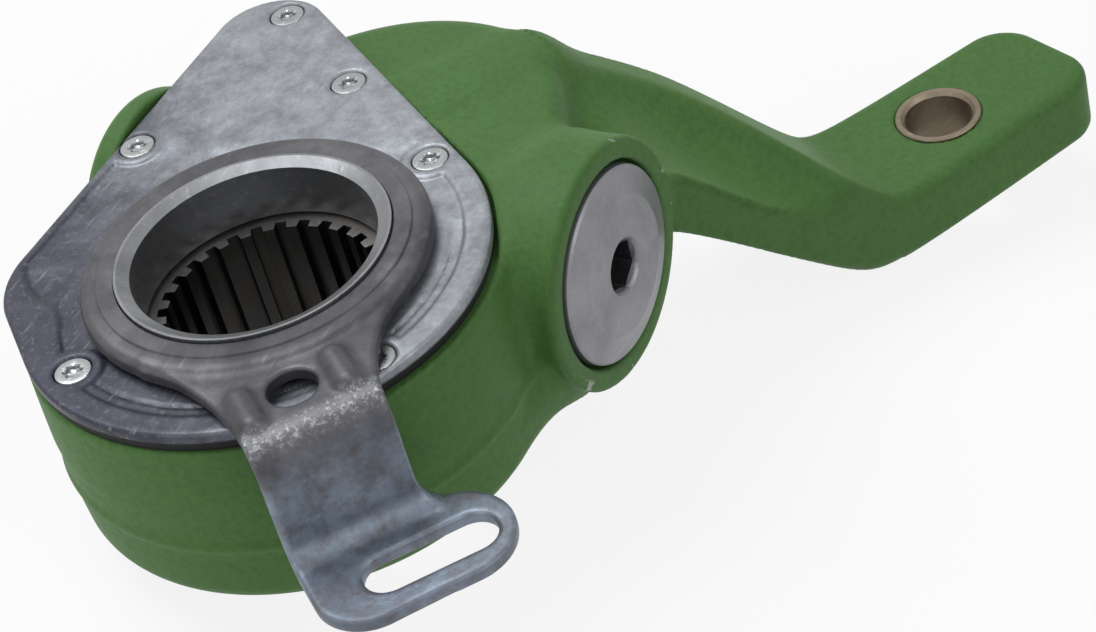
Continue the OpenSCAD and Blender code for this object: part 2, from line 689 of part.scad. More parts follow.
// Plan of the tab, in the arm's own frame: a round lobe at the slot's free end
module tab_plan() {
    inner_n = drop_n + lower_bend_r;
    lobe_n = drop_n - 0.6;
    lobe_r = (tab_n - 0.7 - lobe_n) / 2;
    translate([lobe_n + lobe_r, tab_side - lobe_r]) circle(lobe_r);
    translate([lobe_n, drop_side[1]]) square([2 * lobe_r, tab_side - lobe_r - drop_side[1]]);
    translate([tab_n - 10, drop_side[0] + 10]) circle(10);
    translate([inner_n, drop_side[0] + 10]) square([tab_n - inner_n, drop_side[1] - drop_side[0] - 10]);
    translate([inner_n, drop_side[0]]) square([tab_n - 10 - inner_n, 20]);
}

// Control arm: ring on the hub, neck, drop beside the barrel and slotted tab
module control_arm() {
    bend_n = drop_n - arm_t - upper_bend_r;
    bend_z = arm_z[0] - upper_bend_r;
    low_n = drop_n + lower_bend_r;
    low_z = -tab_depth + lower_bend_r;
    color(steel) rotate([0, 0, arm_az]) difference() {
        union() {
            bore_ring(arm_z[0], arm_z[0] + arm_ring_t, arm_ring_r);
            translate([0, 0, arm_z[0]]) linear_extrude(arm_t) neck_plan();
            along_y(drop_side[0], drop_side[1]) {
                translate([bend_n, bend_z]) bend(upper_bend_r, arm_t, 1, 1);
                translate([drop_n - arm_t, low_z]) square([arm_t, bend_z - low_z]);
                translate([low_n, low_z]) bend(lower_bend_r, arm_t, -1, -1);
            }
            translate([0, 0, -tab_depth - arm_t]) linear_extrude(arm_t) tab_plan();
            // Two ribs pressed up beside the bend
            for (y = [-15.7, 1.7]) translate([36, y, arm_z[0] + 2.2]) {
                rotate([0, 90, 0]) cylinder(r = 2.2, h = 9, $fn = 32);
                sphere(2.2, $fn = 32);
                translate([9, 0, 0]) sphere(2.2, $fn = 32);
            }
        }
        bore_ring(-1, arm_z[0] + arm_ring_t + 1, hub_r);
        translate([38.9, -6.9, -1]) cylinder(r = neck_hole_r, h = 12);
        translate([slot_n, slot_mid, -tab_depth - arm_t - 1]) linear_extrude(arm_t + 2) {
            for (s = [-1, 1]) translate([0, s * (slot_len - slot_w) / 2]) circle(slot_w / 2);
            square([slot_w, slot_len - slot_w], center = true);
        }
    }
}

// Flat gasket under the cover, open over the disc and the rack
module cover_gasket() {
    color(rubber) translate([0, 0, seat_z]) linear_extrude(gasket_t) difference() {
        cover_outline(0.4);
        works_window(0.2);
        for (p = screw_places) translate(p) circle(screw_r + 0.3);
    }
}

// Sunken panel of the cover: its outline moved in by the rim, less a pad at each screw
module cover_panel() {
    difference() {
        cover_outline(rim_w);
        for (p = screw_places) translate(p) circle(screw_head_r + 2.2);
        polygon([[26, 60], [26, 30], [36, -12], [90, -12], [90, 60]]);
    }
}

// Cover plate: hole for the hub, sunken panel and counterbored screw holes
module cover_plate() {
    color(zinc) difference() {
        translate([0, 0, -cover_t]) linear_extrude(cover_t) cover_outline();
        bore_ring(-cover_t - 1, 1, hub_r + 2 * fit_gap);
        translate([0, 0, -panel_t]) linear_extrude(panel_t + 1) cover_panel();
        for (p = screw_places) translate(p) {
            translate([0, 0, -cover_t - 1]) cylinder(r = screw_r + 0.2, h = cover_t + 2);
            translate([0, 0, -1.6]) cylinder(r = screw_head_r + 0.2, h = 2);
        }
    }
}

// Six cover screws with a cross recess
module cover_screws() {
    color(zinc) for (p = screw_places) translate(p) difference() {
        union() {
            translate([0, 0, -1.6]) cylinder(r = screw_head_r, h = 1.4);
            translate([0, 0, -1.6 - screw_len]) cylinder(r = screw_r, h = screw_len + 0.1);
        }
        for (az = [20, 110]) rotate([0, 0, az]) translate([-1.8, -0.4, -1.1]) cube([3.6, 0.8, 2]);
    }
}

housing();
clevis_bush();
worm_wheel();
wheel_guide_ring();
wheel_seal();
worm_shaft();
clutch_ring();
one_way_spring();
gear_wheel();
light_spring();
worm_end_seal();
worm_side_race();
bearing_balls();
spring_side_race();
spring_seat();
main_spring();
screw_cap();
cap_o_ring();
rack();
control_hub();
hub_seal();
control_arm();
cover_gasket();
cover_plate();
cover_screws();
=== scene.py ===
import bpy
import numpy as np
from mathutils import Matrix, Vector


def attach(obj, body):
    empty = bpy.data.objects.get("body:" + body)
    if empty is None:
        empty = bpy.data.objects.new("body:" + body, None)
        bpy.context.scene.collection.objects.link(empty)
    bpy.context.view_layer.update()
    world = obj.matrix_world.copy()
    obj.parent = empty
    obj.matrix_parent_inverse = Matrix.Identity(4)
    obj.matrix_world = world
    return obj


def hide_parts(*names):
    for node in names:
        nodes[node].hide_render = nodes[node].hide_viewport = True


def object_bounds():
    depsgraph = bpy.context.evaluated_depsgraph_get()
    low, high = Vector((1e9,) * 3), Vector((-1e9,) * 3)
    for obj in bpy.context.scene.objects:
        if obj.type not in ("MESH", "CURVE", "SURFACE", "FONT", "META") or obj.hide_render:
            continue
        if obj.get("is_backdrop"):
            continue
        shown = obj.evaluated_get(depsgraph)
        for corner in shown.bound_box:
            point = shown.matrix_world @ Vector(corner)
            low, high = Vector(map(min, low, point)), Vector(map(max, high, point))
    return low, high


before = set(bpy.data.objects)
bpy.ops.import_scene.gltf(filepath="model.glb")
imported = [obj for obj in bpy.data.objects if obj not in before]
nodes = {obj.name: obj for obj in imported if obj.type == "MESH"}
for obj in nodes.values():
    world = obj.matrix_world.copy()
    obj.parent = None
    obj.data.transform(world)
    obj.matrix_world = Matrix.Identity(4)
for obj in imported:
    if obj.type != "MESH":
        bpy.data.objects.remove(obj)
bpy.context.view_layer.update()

# Camera on a stand, above the cover and to its left, with a long lens.
# Its place was worked out from the round edges of the bore, the cap and the bush.
scene = bpy.context.scene
scene.view_settings.view_transform = "Standard"
camera = bpy.data.objects.new("camera", bpy.data.cameras.new("camera"))
camera.data.sensor_width = 36
camera.data.lens = 98.54
camera.data.clip_end = 20
looks_right = Vector((0.44083, -0.87110, -0.21648))
looks_up = Vector((0.64918, 0.14286, 0.74710))
looks_back = looks_right.cross(looks_up)
stands_at = Vector((-0.31360, -0.29639, 0.31709))
turned = Matrix((looks_right, looks_up, looks_back)).transposed().to_4x4()
camera.matrix_world = Matrix.Translation(stands_at) @ turned
scene.collection.objects.link(camera)
scene.camera = camera

# Soft boxes of a small studio: one large above, one on each side of the camera.
# Each is a square lamp that faces the middle of the part.
part_middle = Vector((0.04, 0.0, -0.03))
for lamp_name, place, size, power in (
        ("soft_box_above", (0.15, 0.50, 1.15), 0.8, 11.0),
        ("soft_box_left", (-1.10, 0.35, 0.55), 0.8, 3.0),
        ("soft_box_right", (-0.05, -1.15, 0.70), 0.8, 4.0)):
    lamp = bpy.data.objects.new(lamp_name, bpy.data.lights.new(lamp_name, "AREA"))
    lamp.data.size = size
    lamp.data.energy = power
    lamp.location = place
    lamp.rotation_euler = (part_middle - Vector(place)).to_track_quat("-Z", "Y").to_euler()
    scene.collection.objects.link(lamp)

# White studio background: white where the camera or a reflection sees it, and a soft grey
# light from all round for everything else.
def add(tree, kind, inputs=None, **settings):
    """Puts one shader node into a tree. A socket given as an input is linked, any other value is set."""
    node = tree.nodes.new(kind)
    for key, value in settings.items():
        setattr(node, key, value)
    for key, value in (inputs or {}).items():
        if isinstance(value, bpy.types.NodeSocket):
            tree.links.new(value, node.inputs[key])
        else:
            node.inputs[key].default_value = value
    return node


def seen_part(tree):
    """Gives a socket that is 1 for what the camera sees, also in a mirror or through glass, and 0 for light
    on other pieces."""
    ray = add(tree, "ShaderNodeLightPath")
    seen = add(tree, "ShaderNodeMath", {0: ray.outputs["Is Camera Ray"], 1: ray.outputs["Is Glossy Ray"]},
               operation="MAXIMUM")
    seen = add(tree, "ShaderNodeMath", {0: seen.outputs[0], 1: ray.outputs["Is Transmission Ray"]},
               operation="MAXIMUM")
    return seen.outputs[0]


world = bpy.data.worlds.new("studio")
scene.world = world
world.use_nodes = True
tree = world.node_tree
tree.nodes.clear()
strength = add(tree, "ShaderNodeMapRange", {"Value": seen_part(tree), "To Min": 0.22, "To Max": 1.0})
sky = add(tree, "ShaderNodeBackground", {"Color": (1, 1, 1, 1), "Strength": strength.outputs[0]})
add(tree, "ShaderNodeOutputWorld", {"Surface": sky.outputs[0]})

# Pale table: a flat round top under the lowest point of casting and arm, on which the part lies
# a little tilted. It is see-through from below, so it hides nothing in low views.
rest_normal = np.array((0.097, -0.193, 0.976))
rest_normal /= np.linalg.norm(rest_normal)
heights = []
for low_node in ("housing", "control_arm"):
    corners = nodes[low_node].data.vertices
    places = np.empty(3 * len(corners), np.float32)
    corners.foreach_get("co", places)
    heights.append((places.reshape(-1, 3) @ rest_normal).min())
lowest = min(heights)
across = np.cross(rest_normal, (0.0, 1.0, 0.0))
across /= np.linalg.norm(across)
along = np.cross(rest_normal, across)
table_middle = np.array((0.04, -0.02, 0.0))
table_radius = 1.6
table_gap = 0.0006
turn = np.linspace(0, 2 * np.pi, 97)[:-1]
rim = table_middle + table_radius * (np.cos(turn)[:, None] * across + np.sin(turn)[:, None] * along)
rim += (lowest - table_gap - rim @ rest_normal)[:, None] * rest_normal
table = bpy.data.meshes.new("table")
table.from_pydata(rim.tolist(), [], [list(range(len(rim)))])
table_top = bpy.data.objects.new("table", table)
scene.collection.objects.link(table_top)
if table.polygons[0].normal.dot(Vector(rest_normal)) < 0:
    table.flip_normals()
pale = bpy.data.materials.new("pale_table")
pale.use_nodes = True
tree = pale.node_tree
tree.nodes.clear()
share = add(tree, "ShaderNodeMath", {0: seen_part(tree), 1: 0.86}, operation="MULTIPLY")
board = add(tree, "ShaderNodeBsdfPrincipled", {"Base Color": (0.9, 0.9, 0.9, 1), "Roughness": 0.7})
glow = add(tree, "ShaderNodeEmission", {"Color": (1, 1, 1, 1), "Strength": 1.0})
top = add(tree, "ShaderNodeMixShader", {0: share.outputs[0], 1: board.outputs[0], 2: glow.outputs[0]})
clear = add(tree, "ShaderNodeBsdfTransparent")
side = add(tree, "ShaderNodeNewGeometry")
both = add(tree, "ShaderNodeMixShader", {0: side.outputs["Backfacing"], 1: top.outputs[0],
                                         2: clear.outputs[0]})
add(tree, "ShaderNodeOutputMaterial", {"Surface": both.outputs[0]})
table.materials.append(pale)
table_top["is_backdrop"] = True

# Housing: one piece of cast iron, with barrel, worm tunnel, two bosses, shoulder and cranked lever.
# It is cast in sand, machined on its seats and bores, and painted green with the faces masked.
MM = 0.001


def melt(a, b, k):
    """Smooth union of two distances: the smaller one, rounded over a band of width k where they are close."""
    h = np.clip(0.5 + 0.5 * (b - a) / k, 0, 1)
    return b + (a - b) * h - k * h * (1 - h)


def cut(a, b, k):
    """Distance a with the form b taken away, its edge rounded over a band of width k."""
    return -melt(-a, b, k)


def drum(r, h, radius, low, high, edge_low, edge_high):
    """Distance to a round bar: r is the distance from its axis, h the place along it, and its ends' edges
    are rounded."""
    mid = (low + high) / 2
    edge = np.where(h < mid, edge_low, edge_high)
    q = r - radius + edge
    w = np.abs(h - mid) - (high - low) / 2 + edge
    return np.minimum(np.maximum(q, w), 0) + np.hypot(np.maximum(q, 0), np.maximum(w, 0)) - edge


def cover_side(x, y, inset):
    """Distance to the cover's outline: three circles and the sides that touch them. In the cone of a circle
    it is the distance from its centre less its radius, elsewhere the farthest of the three sides."""
    rounds = ((-0.4, 1.2, 43.6 - inset), (63.7, 36.5, 11.5 - inset), (-8.0, 28.0, 20.0 - inset))
    sides = []
    for (ax, ay, ar), (bx, by, br) in zip(rounds, rounds[1:] + rounds[:1]):
        sides.append(np.arctan2(by - ay, bx - ax) - np.arccos((ar - br) / np.hypot(bx - ax, by - ay)))
    far = np.full(x.shape, -1e3)
    for (cx, cy, r), az in zip(rounds, sides):
        far = np.maximum(far, (x - cx) * np.cos(az) + (y - cy) * np.sin(az) - r)
    out = far.copy()
    for i, (cx, cy, r) in enumerate(rounds):
        sweep = (sides[i] - sides[i - 1]) % (2 * np.pi)
        inside = (np.arctan2(y - cy, x - cx) - sides[i - 1]) % (2 * np.pi) <= sweep
        out = np.where(inside, np.hypot(x - cx, y - cy) - r, out)
    return out


def bend_line(a, points, soft):
    """Height of a line of straight runs over a, with its corners rounded: each corner adds a soft step in
    slope."""
    (a0, z0), (a1, z1) = points[0], points[1]
    slope = (z1 - z0) / (a1 - a0)
    z = z0 + slope * (a - a0)
    for (pa, pz), (na, nz), s in zip(points[1:-1], points[2:], soft):
        new = (nz - pz) / (na - pa)
        t = a - pa
        z = z + (new - slope) * 0.5 * (t + np.sqrt(t * t + s * s))
        slope = new
    return z


def rounded_both(a, b, edge):
    """Where two distances are both negative, with the edge between them rounded."""
    past = np.hypot(np.maximum(a + edge, 0), np.maximum(b + edge, 0))
    return np.minimum(np.maximum(a, b) + edge, 0) + past - edge


# Worm's axis, the lever's direction, the bush's place along it and the two faces of the paddle
WORM_X, WORM_Z = 35, -20.5
LEVER_AZ = np.radians(-27.6)
BUSH_A = 150
PADDLE_TOP, PADDLE_BACK = -58.7, -73.7


def lever_form(a, b, z):
    """Distance to the cranked lever, with a along it and b across it: a slab that drops in a crank, tapers
    and has a rounded end. Its upper face falls from a ridge to the near side, by a depth that grows with the
    distance from the ridge up to a limit, and a ledge is left there, where the moulds met."""
    near = bend_line(a, ((40, -15), (122, -17), (185, -14.8)), (20,))
    far = bend_line(a, ((40, 31.5), (62, 27.2), (100, 20.3), (124, 15.5), (185, 14.5)), (10, 10, 12))
    crest_points = ((40, -6.2), (77, -6.2), (100, -25.6), (125.5, PADDLE_TOP), (185, PADDLE_TOP))
    crest = bend_line(a, crest_points, (3, 8, 4))
    ridge = bend_line(a, ((40, 16), (94, 13.5), (110, -6), (124, -30), (185, -30)), (8, 6, 4))
    depth = bend_line(a, ((40, 12), (74, 12), (97, 19.5), (185, 19.5)), (4, 4))

    def upper(across):
        """Height of the upper face at a place across the lever."""
        beside = ridge - across + np.hypot(ridge - across, 1.6)
        return crest - depth * (1 - np.exp(-beside / 22))

    low = bend_line(a, ((40, -33), (72, -29), (117, PADDLE_BACK), (185, PADDLE_BACK)), (6, 6))
    # On the crank a height is longer than the distance to the slope
    lean = 1 / np.sqrt(1 + np.where((a > 76) & (a < 125), 1.1, 0.0))
    slab = np.maximum(z - upper(b), low - z) * lean
    ledge = np.clip((106 - a) / 8, 0, 1)
    near = near + ledge * (1.5 * np.clip(0.5 + (upper(near) - 1.6 - z), 0, 1) - 0.7)
    width = np.maximum(near - b, b - far)
    middle, half = (near + far) / 2, (far - near) / 2
    past_end = np.maximum(a - 173.4 + 0.055 * (b + 14), 0)
    corner = np.hypot(np.maximum(np.abs(b - middle) - half + 9, 0), past_end) - 9
    width = np.maximum(width, np.where(a > BUSH_A, corner, -99.0))
    return np.maximum(rounded_both(slab, width, 2.4 - 1.2 * ledge), 46 - a)


def casting(x, y, z):
    """Distance to the painted casting, in millimetres: the drums of the barrel, tunnel, bosses and shoulder
    and the cranked lever melt into each other, then the seats and bores are cut."""
    from_bore = np.hypot(x, y)
    across_worm = np.hypot(x - WORM_X, z - WORM_Z)
    a = x * np.cos(LEVER_AZ) + y * np.sin(LEVER_AZ)
    b = y * np.cos(LEVER_AZ) - x * np.sin(LEVER_AZ)
    # The barrel swells a little to its middle, where a low seam runs round it
    belly = 0.9 * np.clip(1 - ((z + 24) / 20) ** 2, 0, 1)
    belly = belly + 0.5 * np.clip(1.3 - np.abs(z + 26), 0, 1)
    body = drum(from_bore - belly, z, 44.1, -40.6, -4, 4.5, 0.8)
    deck = np.maximum(np.maximum(cover_side(x, y, 0.8), z + 4), -17 - z)
    tunnel = drum(across_worm, y, 16.4, -45, 52, 3, 3)
    cap_boss = drum(across_worm, y, 23.6, -50.2, -33, 1.1, 7)
    hex_boss = drum(across_worm, y, 21.6, 40, 55.2, 3, 4)
    shoulder = drum(np.hypot(x - 44.5, y - 0.8), z, 39.1, -36.4, -4.1, 10, 7)
    # A slanted plane ends the shoulder and leaves a scoop beside the lever's ridge
    shoulder = cut(shoulder, (67.8 + 0.6 * b - a) / 1.17, 5)
    form = melt(body, tunnel, 8)
    form = melt(form, shoulder, 9)
    # A web fills the corner below the cap boss
    web = np.clip((-24 - z) / 8, 0, 1) * np.clip((30 - x) / 8, 0, 1) * np.clip((y + 48.5) / 3, 0, 1)
    form = melt(form, cap_boss, 3 + 3 * np.clip((z + 22) / 10, 0, 1) + 11 * web)
    form = melt(form, hex_boss, 4)
    form = melt(form, deck, 3)
    form = melt(form, lever_form(a, b, z), 4 + 4 * np.clip((b - 8) / 10, 0, 1))
    # Seat of the cover, with a small step beside it
    form = cut(form, np.maximum(cover_side(x, y, -0.7), -4 - z), 0.5)
    # Bores for the wheel, its journal, the disc and the rack
    form = np.maximum(form, -drum(from_bore, z, 28.6, -30.4, 4, 0.2, 0.2))
    form = cut(form, drum(from_bore, z, 24.4, -44, -20, 0.2, 0.2), 0.6)
    form = np.maximum(form, -drum(from_bore, z, 33.8, -7.1, 4, 0.2, 0.2))
    rack = np.maximum(np.maximum(np.abs(y - 36.2) - 3.1, np.abs(x - 20) - 42.4), -12.4 - z)
    tongue = np.maximum(np.maximum(np.abs(x + 4.2) - 14.5, np.abs(y - 31) - 5.5), -7.1 - z)
    form = np.maximum(form, -np.minimum(rack, tongue))
    # Worm bore, the cap's recess and the hexagon's recess
    form = np.maximum(form, -drum(across_worm, y, 13.2, -44, 41.2, 0.2, 0.2))
    form = np.maximum(form, -drum(across_worm, y, 18.3, -51, -39.8, 0.2, 0.2))
    form = cut(form, drum(across_worm, y, 19.4, -55, -47.2, 0.2, 0.2), 0.8)
    form = np.maximum(form, -drum(across_worm, y, 10.3, 40, 45, 0.2, 0.2))
    form = np.maximum(form, -drum(across_worm, y, 7.4, 44, 53, 0.2, 0.2))
    form = cut(form, drum(across_worm, y, 12.5, 51.5, 64, 0.2, 0.2), 0.8)
    # Hole for the clevis bush
    from_bush = np.hypot(a - BUSH_A, b)
    return cut(form, drum(from_bush, z, 9.0, -90, -40, 0.2, 0.2), 0.5)


def skin(name, field, low, high, step, turn=0.0):
    """Mesh of the zero surface of a distance field. One vertex in every grid cell that the surface crosses,
    at the mean of the crossings of its edges, moved onto the surface along the slope, and a face round
    every crossed edge. The field's own x and y axes may be turned about Z, so that the grid lies along a
    piece's edges."""
    axes = [np.arange(first, last + gap, gap) for first, last, gap in zip(low, high, step)]
    shape = [len(axis) for axis in axes]
    distance = np.empty(shape, np.float32)
    slice_size = 16
    for i in range(0, shape[0], slice_size):
        part = axes[0][i:i + slice_size]
        distance[i:i + slice_size] = field(*np.meshgrid(part, axes[1], axes[2], indexing="ij"))
    inside = distance < 0
    cells = [n - 1 for n in shape]
    corners = [(i, j, k) for i in (0, 1) for j in (0, 1) for k in (0, 1)]
    count = np.zeros(cells, np.int8)
    for i, j, k in corners:
        count += inside[i:cells[0] + i, j:cells[1] + j, k:cells[2] + k]
    cell = np.argwhere((count > 0) & (count < 8))
    number = np.full(cells, -1, np.int64)
    number[tuple(cell.T)] = np.arange(len(cell))
    at = {corner: distance[tuple((cell + corner).T)] for corner in corners}
    total, crossings = np.zeros((len(cell), 3)), np.zeros(len(cell))
    for corner in corners:
        for axis in range(3):
            if corner[axis] == 0:
                end = tuple(1 if n == axis else corner[n] for n in range(3))
                hit = (at[corner] < 0) != (at[end] < 0)
                share = np.where(hit, at[corner] / np.where(hit, at[corner] - at[end], 1), 0)
                place = np.tile(np.array(corner, float), (len(cell), 1))
                place[:, axis] = share
                total += place * hit[:, None]
                crossings += hit
    points = np.array(low) + (cell + total / crossings[:, None]) * np.array(step)
    # Three moves along the slope bring the points onto the surface
    probe = 0.05
    longest = 0.6 * np.array(step)
    for _ in range(3):
        here = field(*points.T)
        slope = np.stack([(field(*(points + probe * np.eye(3)[n]).T) - here) / probe for n in range(3)], 1)
        move = slope * (here / np.maximum((slope ** 2).sum(1), 0.3))[:, None]
        points = points - np.clip(move, -longest, longest)
    # A grid edge that leaves or enters the form gets a face between the four cells round it
    faces = []
    for axis in range(3):
        second, third = (axis + 1) % 3, (axis + 2) % 3
        inner = [slice(1, -1)] * 3
        inner[axis] = slice(0, -1)
        outer = list(inner)
        outer[axis] = slice(1, None)
        start, stop = inside[tuple(inner)], inside[tuple(outer)]
        edge = np.argwhere(start != stop)
        leaves = start[tuple(edge.T)]
        edge[:, [second, third]] += 1
        ring = []
        for shift_second, shift_third in ((-1, -1), (0, -1), (0, 0), (-1, 0)):
            beside = edge.copy()
            beside[:, second] += shift_second
            beside[:, third] += shift_third
            ring.append(number[tuple(beside.T)])
        quad = np.stack(ring, 1)
        faces.append(np.where(leaves[:, None], quad, quad[:, ::-1]))
    x, y, z = points.T
    turned = np.stack([x * np.cos(turn) - y * np.sin(turn), x * np.sin(turn) + y * np.cos(turn), z], 1)
    return piece(name, turned, np.concatenate(faces))


def piece(name, points, faces):
    """Puts points, in millimetres, and faces of four corners into a smooth mesh object. A face whose
    last two corners are the same is a triangle."""
    mesh = bpy.data.meshes.new(name)
    tri = faces[:, 2] == faces[:, 3]
    keep = np.ones(faces.shape, bool)
    keep[tri, 3] = False
    sizes = keep.sum(1)
    loops = faces[keep]
    mesh.vertices.add(len(points))
    mesh.vertices.foreach_set("co", (np.asarray(points, float) * MM).ravel())
    mesh.loops.add(len(loops))
    mesh.loops.foreach_set("vertex_index", loops.astype(np.int32))
    mesh.polygons.add(len(faces))
    mesh.polygons.foreach_set("loop_start", (np.cumsum(sizes) - sizes).astype(np.int32))
    mesh.polygons.foreach_set("use_smooth", np.ones(len(faces), bool))
    mesh.update(calc_edges=True)
    mesh.validate()
    obj = bpy.data.objects.new(name, mesh)
    scene.collection.objects.link(obj)
    return obj


def group(name, inputs, outputs):
    """Starts a shader node group with named number or colour sockets, and gives its tree, its input and its
    output node."""
    made = bpy.data.node_groups.new(name, "ShaderNodeTree")
    for label, value in inputs.items():
        socket = made.interface.new_socket(label, in_out="INPUT", socket_type="NodeSocketFloat")
        socket.default_value = value
    for label, kind in outputs.items():
        made.interface.new_socket(label, in_out="OUTPUT", socket_type=kind)
    return made, made.nodes.new("NodeGroupInput"), made.nodes.new("NodeGroupOutput")


def blend(tree, share, first, second):
    """Gives the socket of a colour between two: the first where the share is 0, the second where it is 1."""
    mixed = add(tree, "ShaderNodeMix", {"Factor": share, "A": first, "B": second}, data_type="RGBA")
    return mixed.outputs["Result"]


def finish_material(name, values):
    """Starts a material with one Principled shader, sets its constant sockets and gives the tree and the
    shader."""
    made = bpy.data.materials.new(name)
    made.use_nodes = True
    made.node_tree.nodes.clear()
    shader = add(made.node_tree, "ShaderNodeBsdfPrincipled", values)
    add(made.node_tree, "ShaderNodeOutputMaterial", {"Surface": shader.outputs[0]})
    return made, made.node_tree, shader


# Sand grain of a casting: fine grains on broad soft waves, as a height and as a mask of the hollows,
# which carries painted shade. The grain comes from the mould and is seen through the paint.
grain, grain_in, grain_out = group("sand_grain", {"Fine Scale": 700.0, "Wave Scale": 90.0},
                                   {"Height": "NodeSocketFloat", "Hollow Shade": "NodeSocketFloat"})
spot = add(grain, "ShaderNodeTexCoord")
fine = add(grain, "ShaderNodeTexNoise", {"Vector": spot.outputs["Object"],
                                         "Scale": grain_in.outputs["Fine Scale"],
                                         "Detail": 3.0, "Roughness": 0.6})
wave = add(grain, "ShaderNodeTexNoise", {"Vector": spot.outputs["Object"],
                                         "Scale": grain_in.outputs["Wave Scale"],
                                         "Detail": 2.0})
high = add(grain, "ShaderNodeMath", {0: wave.outputs["Fac"], 1: 1.6, 2: fine.outputs["Fac"]},
           operation="MULTIPLY_ADD")
hollow_shade = add(grain, "ShaderNodeMapRange", {"Value": fine.outputs["Fac"], "From Min": 0.34, "From Max": 0.58,
                                         "To Min": 1.0, "To Max": 0.0})
grain.links.new(high.outputs[0], grain_out.inputs["Height"])
grain.links.new(hollow_shade.outputs[0], grain_out.inputs["Hollow Shade"])

# Green paint: satin, with painted shade in the hollows of the grain, uneven over broad patches.
# It is sprayed on the finished casting.
paint, tree, shader = finish_material("painted_casting", {"Specular IOR Level": 0.22})
sand = add(tree, "ShaderNodeGroup", node_tree=grain)
spot = add(tree, "ShaderNodeTexCoord")
patch = add(tree, "ShaderNodeTexNoise", {"Vector": spot.outputs["Object"], "Scale": 28.0, "Detail": 4.0})
green = blend(tree, patch.outputs["Fac"], (0.046, 0.125, 0.026, 1), (0.088, 0.200, 0.052, 1))
# Painted shade: the hollows of the grain are coloured a darker green.
shade = add(tree, "ShaderNodeMath", {0: sand.outputs["Hollow Shade"], 1: 0.55}, operation="MULTIPLY")
tone = blend(tree, shade.outputs[0], green, (0.046, 0.112, 0.028, 1))
# On the rim of the cap boss the paint is chipped to the iron.
from_worm = add(tree, "ShaderNodeVectorMath", {0: spot.outputs["Object"], 1: (WORM_X * MM, 0.0, WORM_Z * MM)},
                operation="SUBTRACT")
flat = add(tree, "ShaderNodeVectorMath", {0: from_worm.outputs[0], 1: (1.0, 0.0, 1.0)}, operation="MULTIPLY")
radius = add(tree, "ShaderNodeVectorMath", {0: flat.outputs[0]}, operation="LENGTH")
off = add(tree, "ShaderNodeMath", {0: radius.outputs["Value"], 1: 0.0228}, operation="SUBTRACT")
away = add(tree, "ShaderNodeMath", {0: off.outputs[0]}, operation="ABSOLUTE")
rim_part = add(tree, "ShaderNodeMapRange", {"Value": away.outputs[0], "From Min": 0.0016, "From Max": 0.0008})
along_worm = add(tree, "ShaderNodeSeparateXYZ", {0: spot.outputs["Object"]})
front = add(tree, "ShaderNodeMapRange", {"Value": along_worm.outputs["Y"], "From Min": -0.0480,
                                         "From Max": -0.0492})
knock = add(tree, "ShaderNodeTexNoise", {"Vector": spot.outputs["Object"], "Scale": 210.0, "Detail": 4.0,
                                         "Roughness": 0.6})
chip = add(tree, "ShaderNodeMapRange", {"Value": knock.outputs["Fac"], "From Min": 0.66, "From Max": 0.69})
bare = add(tree, "ShaderNodeMath", {0: rim_part.outputs[0], 1: front.outputs[0]}, operation="MULTIPLY")
bare = add(tree, "ShaderNodeMath", {0: bare.outputs[0], 1: chip.outputs[0]}, operation="MULTIPLY")
tone = blend(tree, bare.outputs[0], tone, (0.40, 0.41, 0.38, 1))
tree.links.new(tone, shader.inputs["Base Color"])
satin = add(tree, "ShaderNodeMapRange", {"Value": patch.outputs["Fac"], "To Min": 0.46, "To Max": 0.66})
tree.links.new(satin.outputs[0], shader.inputs["Roughness"])
bump = add(tree, "ShaderNodeBump", {"Strength": 0.35, "Distance": 0.0004, "Height": sand.outputs["Height"]})
tree.links.new(bump.outputs[0], shader.inputs["Normal"])

housing = skin("housing_casting", casting, (-46.5, -101.5, -76.5), (177.5, 63.5, 6.5), (0.86, 0.86, 0.86))
housing.data.materials.append(paint)
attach(housing, "housing")
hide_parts("housing")

# Cloudy skin of plated or bare metal: broad clouds, small specks and fine scratches in two directions,
# each as a mask from 0 to 1.
clouds, clouds_in, clouds_out = group(
    "metal_skin", {"Cloud Scale": 45.0, "Speck Scale": 600.0, "Scratch Scale": 900.0},
    {"Cloud": "NodeSocketFloat", "Speck": "NodeSocketFloat", "Scratch": "NodeSocketFloat"})
spot = add(clouds, "ShaderNodeTexCoord")
broad = add(clouds, "ShaderNodeTexNoise", {"Vector": spot.outputs["Object"],
                                           "Scale": clouds_in.outputs["Cloud Scale"],
                                           "Detail": 9.0, "Roughness": 0.7, "Distortion": 0.5})
cloud = add(clouds, "ShaderNodeMapRange", {"Value": broad.outputs["Fac"], "From Min": 0.32, "From Max": 0.68})
small = add(clouds, "ShaderNodeTexNoise", {"Vector": spot.outputs["Object"],
                                           "Scale": clouds_in.outputs["Speck Scale"],
                                           "Detail": 4.0, "Roughness": 0.7})
speck = add(clouds, "ShaderNodeMapRange", {"Value": small.outputs["Fac"], "From Min": 0.56, "From Max": 0.74})
marks = []
for turn_z, stretch in ((0.5, 0.09), (-0.9, 0.12)):
    lay = add(clouds, "ShaderNodeMapping", {"Vector": spot.outputs["Object"], "Rotation": (0.0, 0.0, turn_z),
                                            "Scale": (stretch, 1.0, 1.0)})
    line = add(clouds, "ShaderNodeTexNoise", {"Vector": lay.outputs[0],
                                              "Scale": clouds_in.outputs["Scratch Scale"],
                                              "Detail": 1.0})
    marks.append(add(clouds, "ShaderNodeMapRange", {"Value": line.outputs["Fac"], "From Min": 0.68,
                                                    "From Max": 0.78}))
scratch = add(clouds, "ShaderNodeMath", {0: marks[0].outputs[0], 1: marks[1].outputs[0]}, operation="MAXIMUM")
clouds.links.new(cloud.outputs[0], clouds_out.inputs["Cloud"])
clouds.links.new(speck.outputs[0], clouds_out.inputs["Speck"])
clouds.links.new(scratch.outputs[0], clouds_out.inputs["Scratch"])


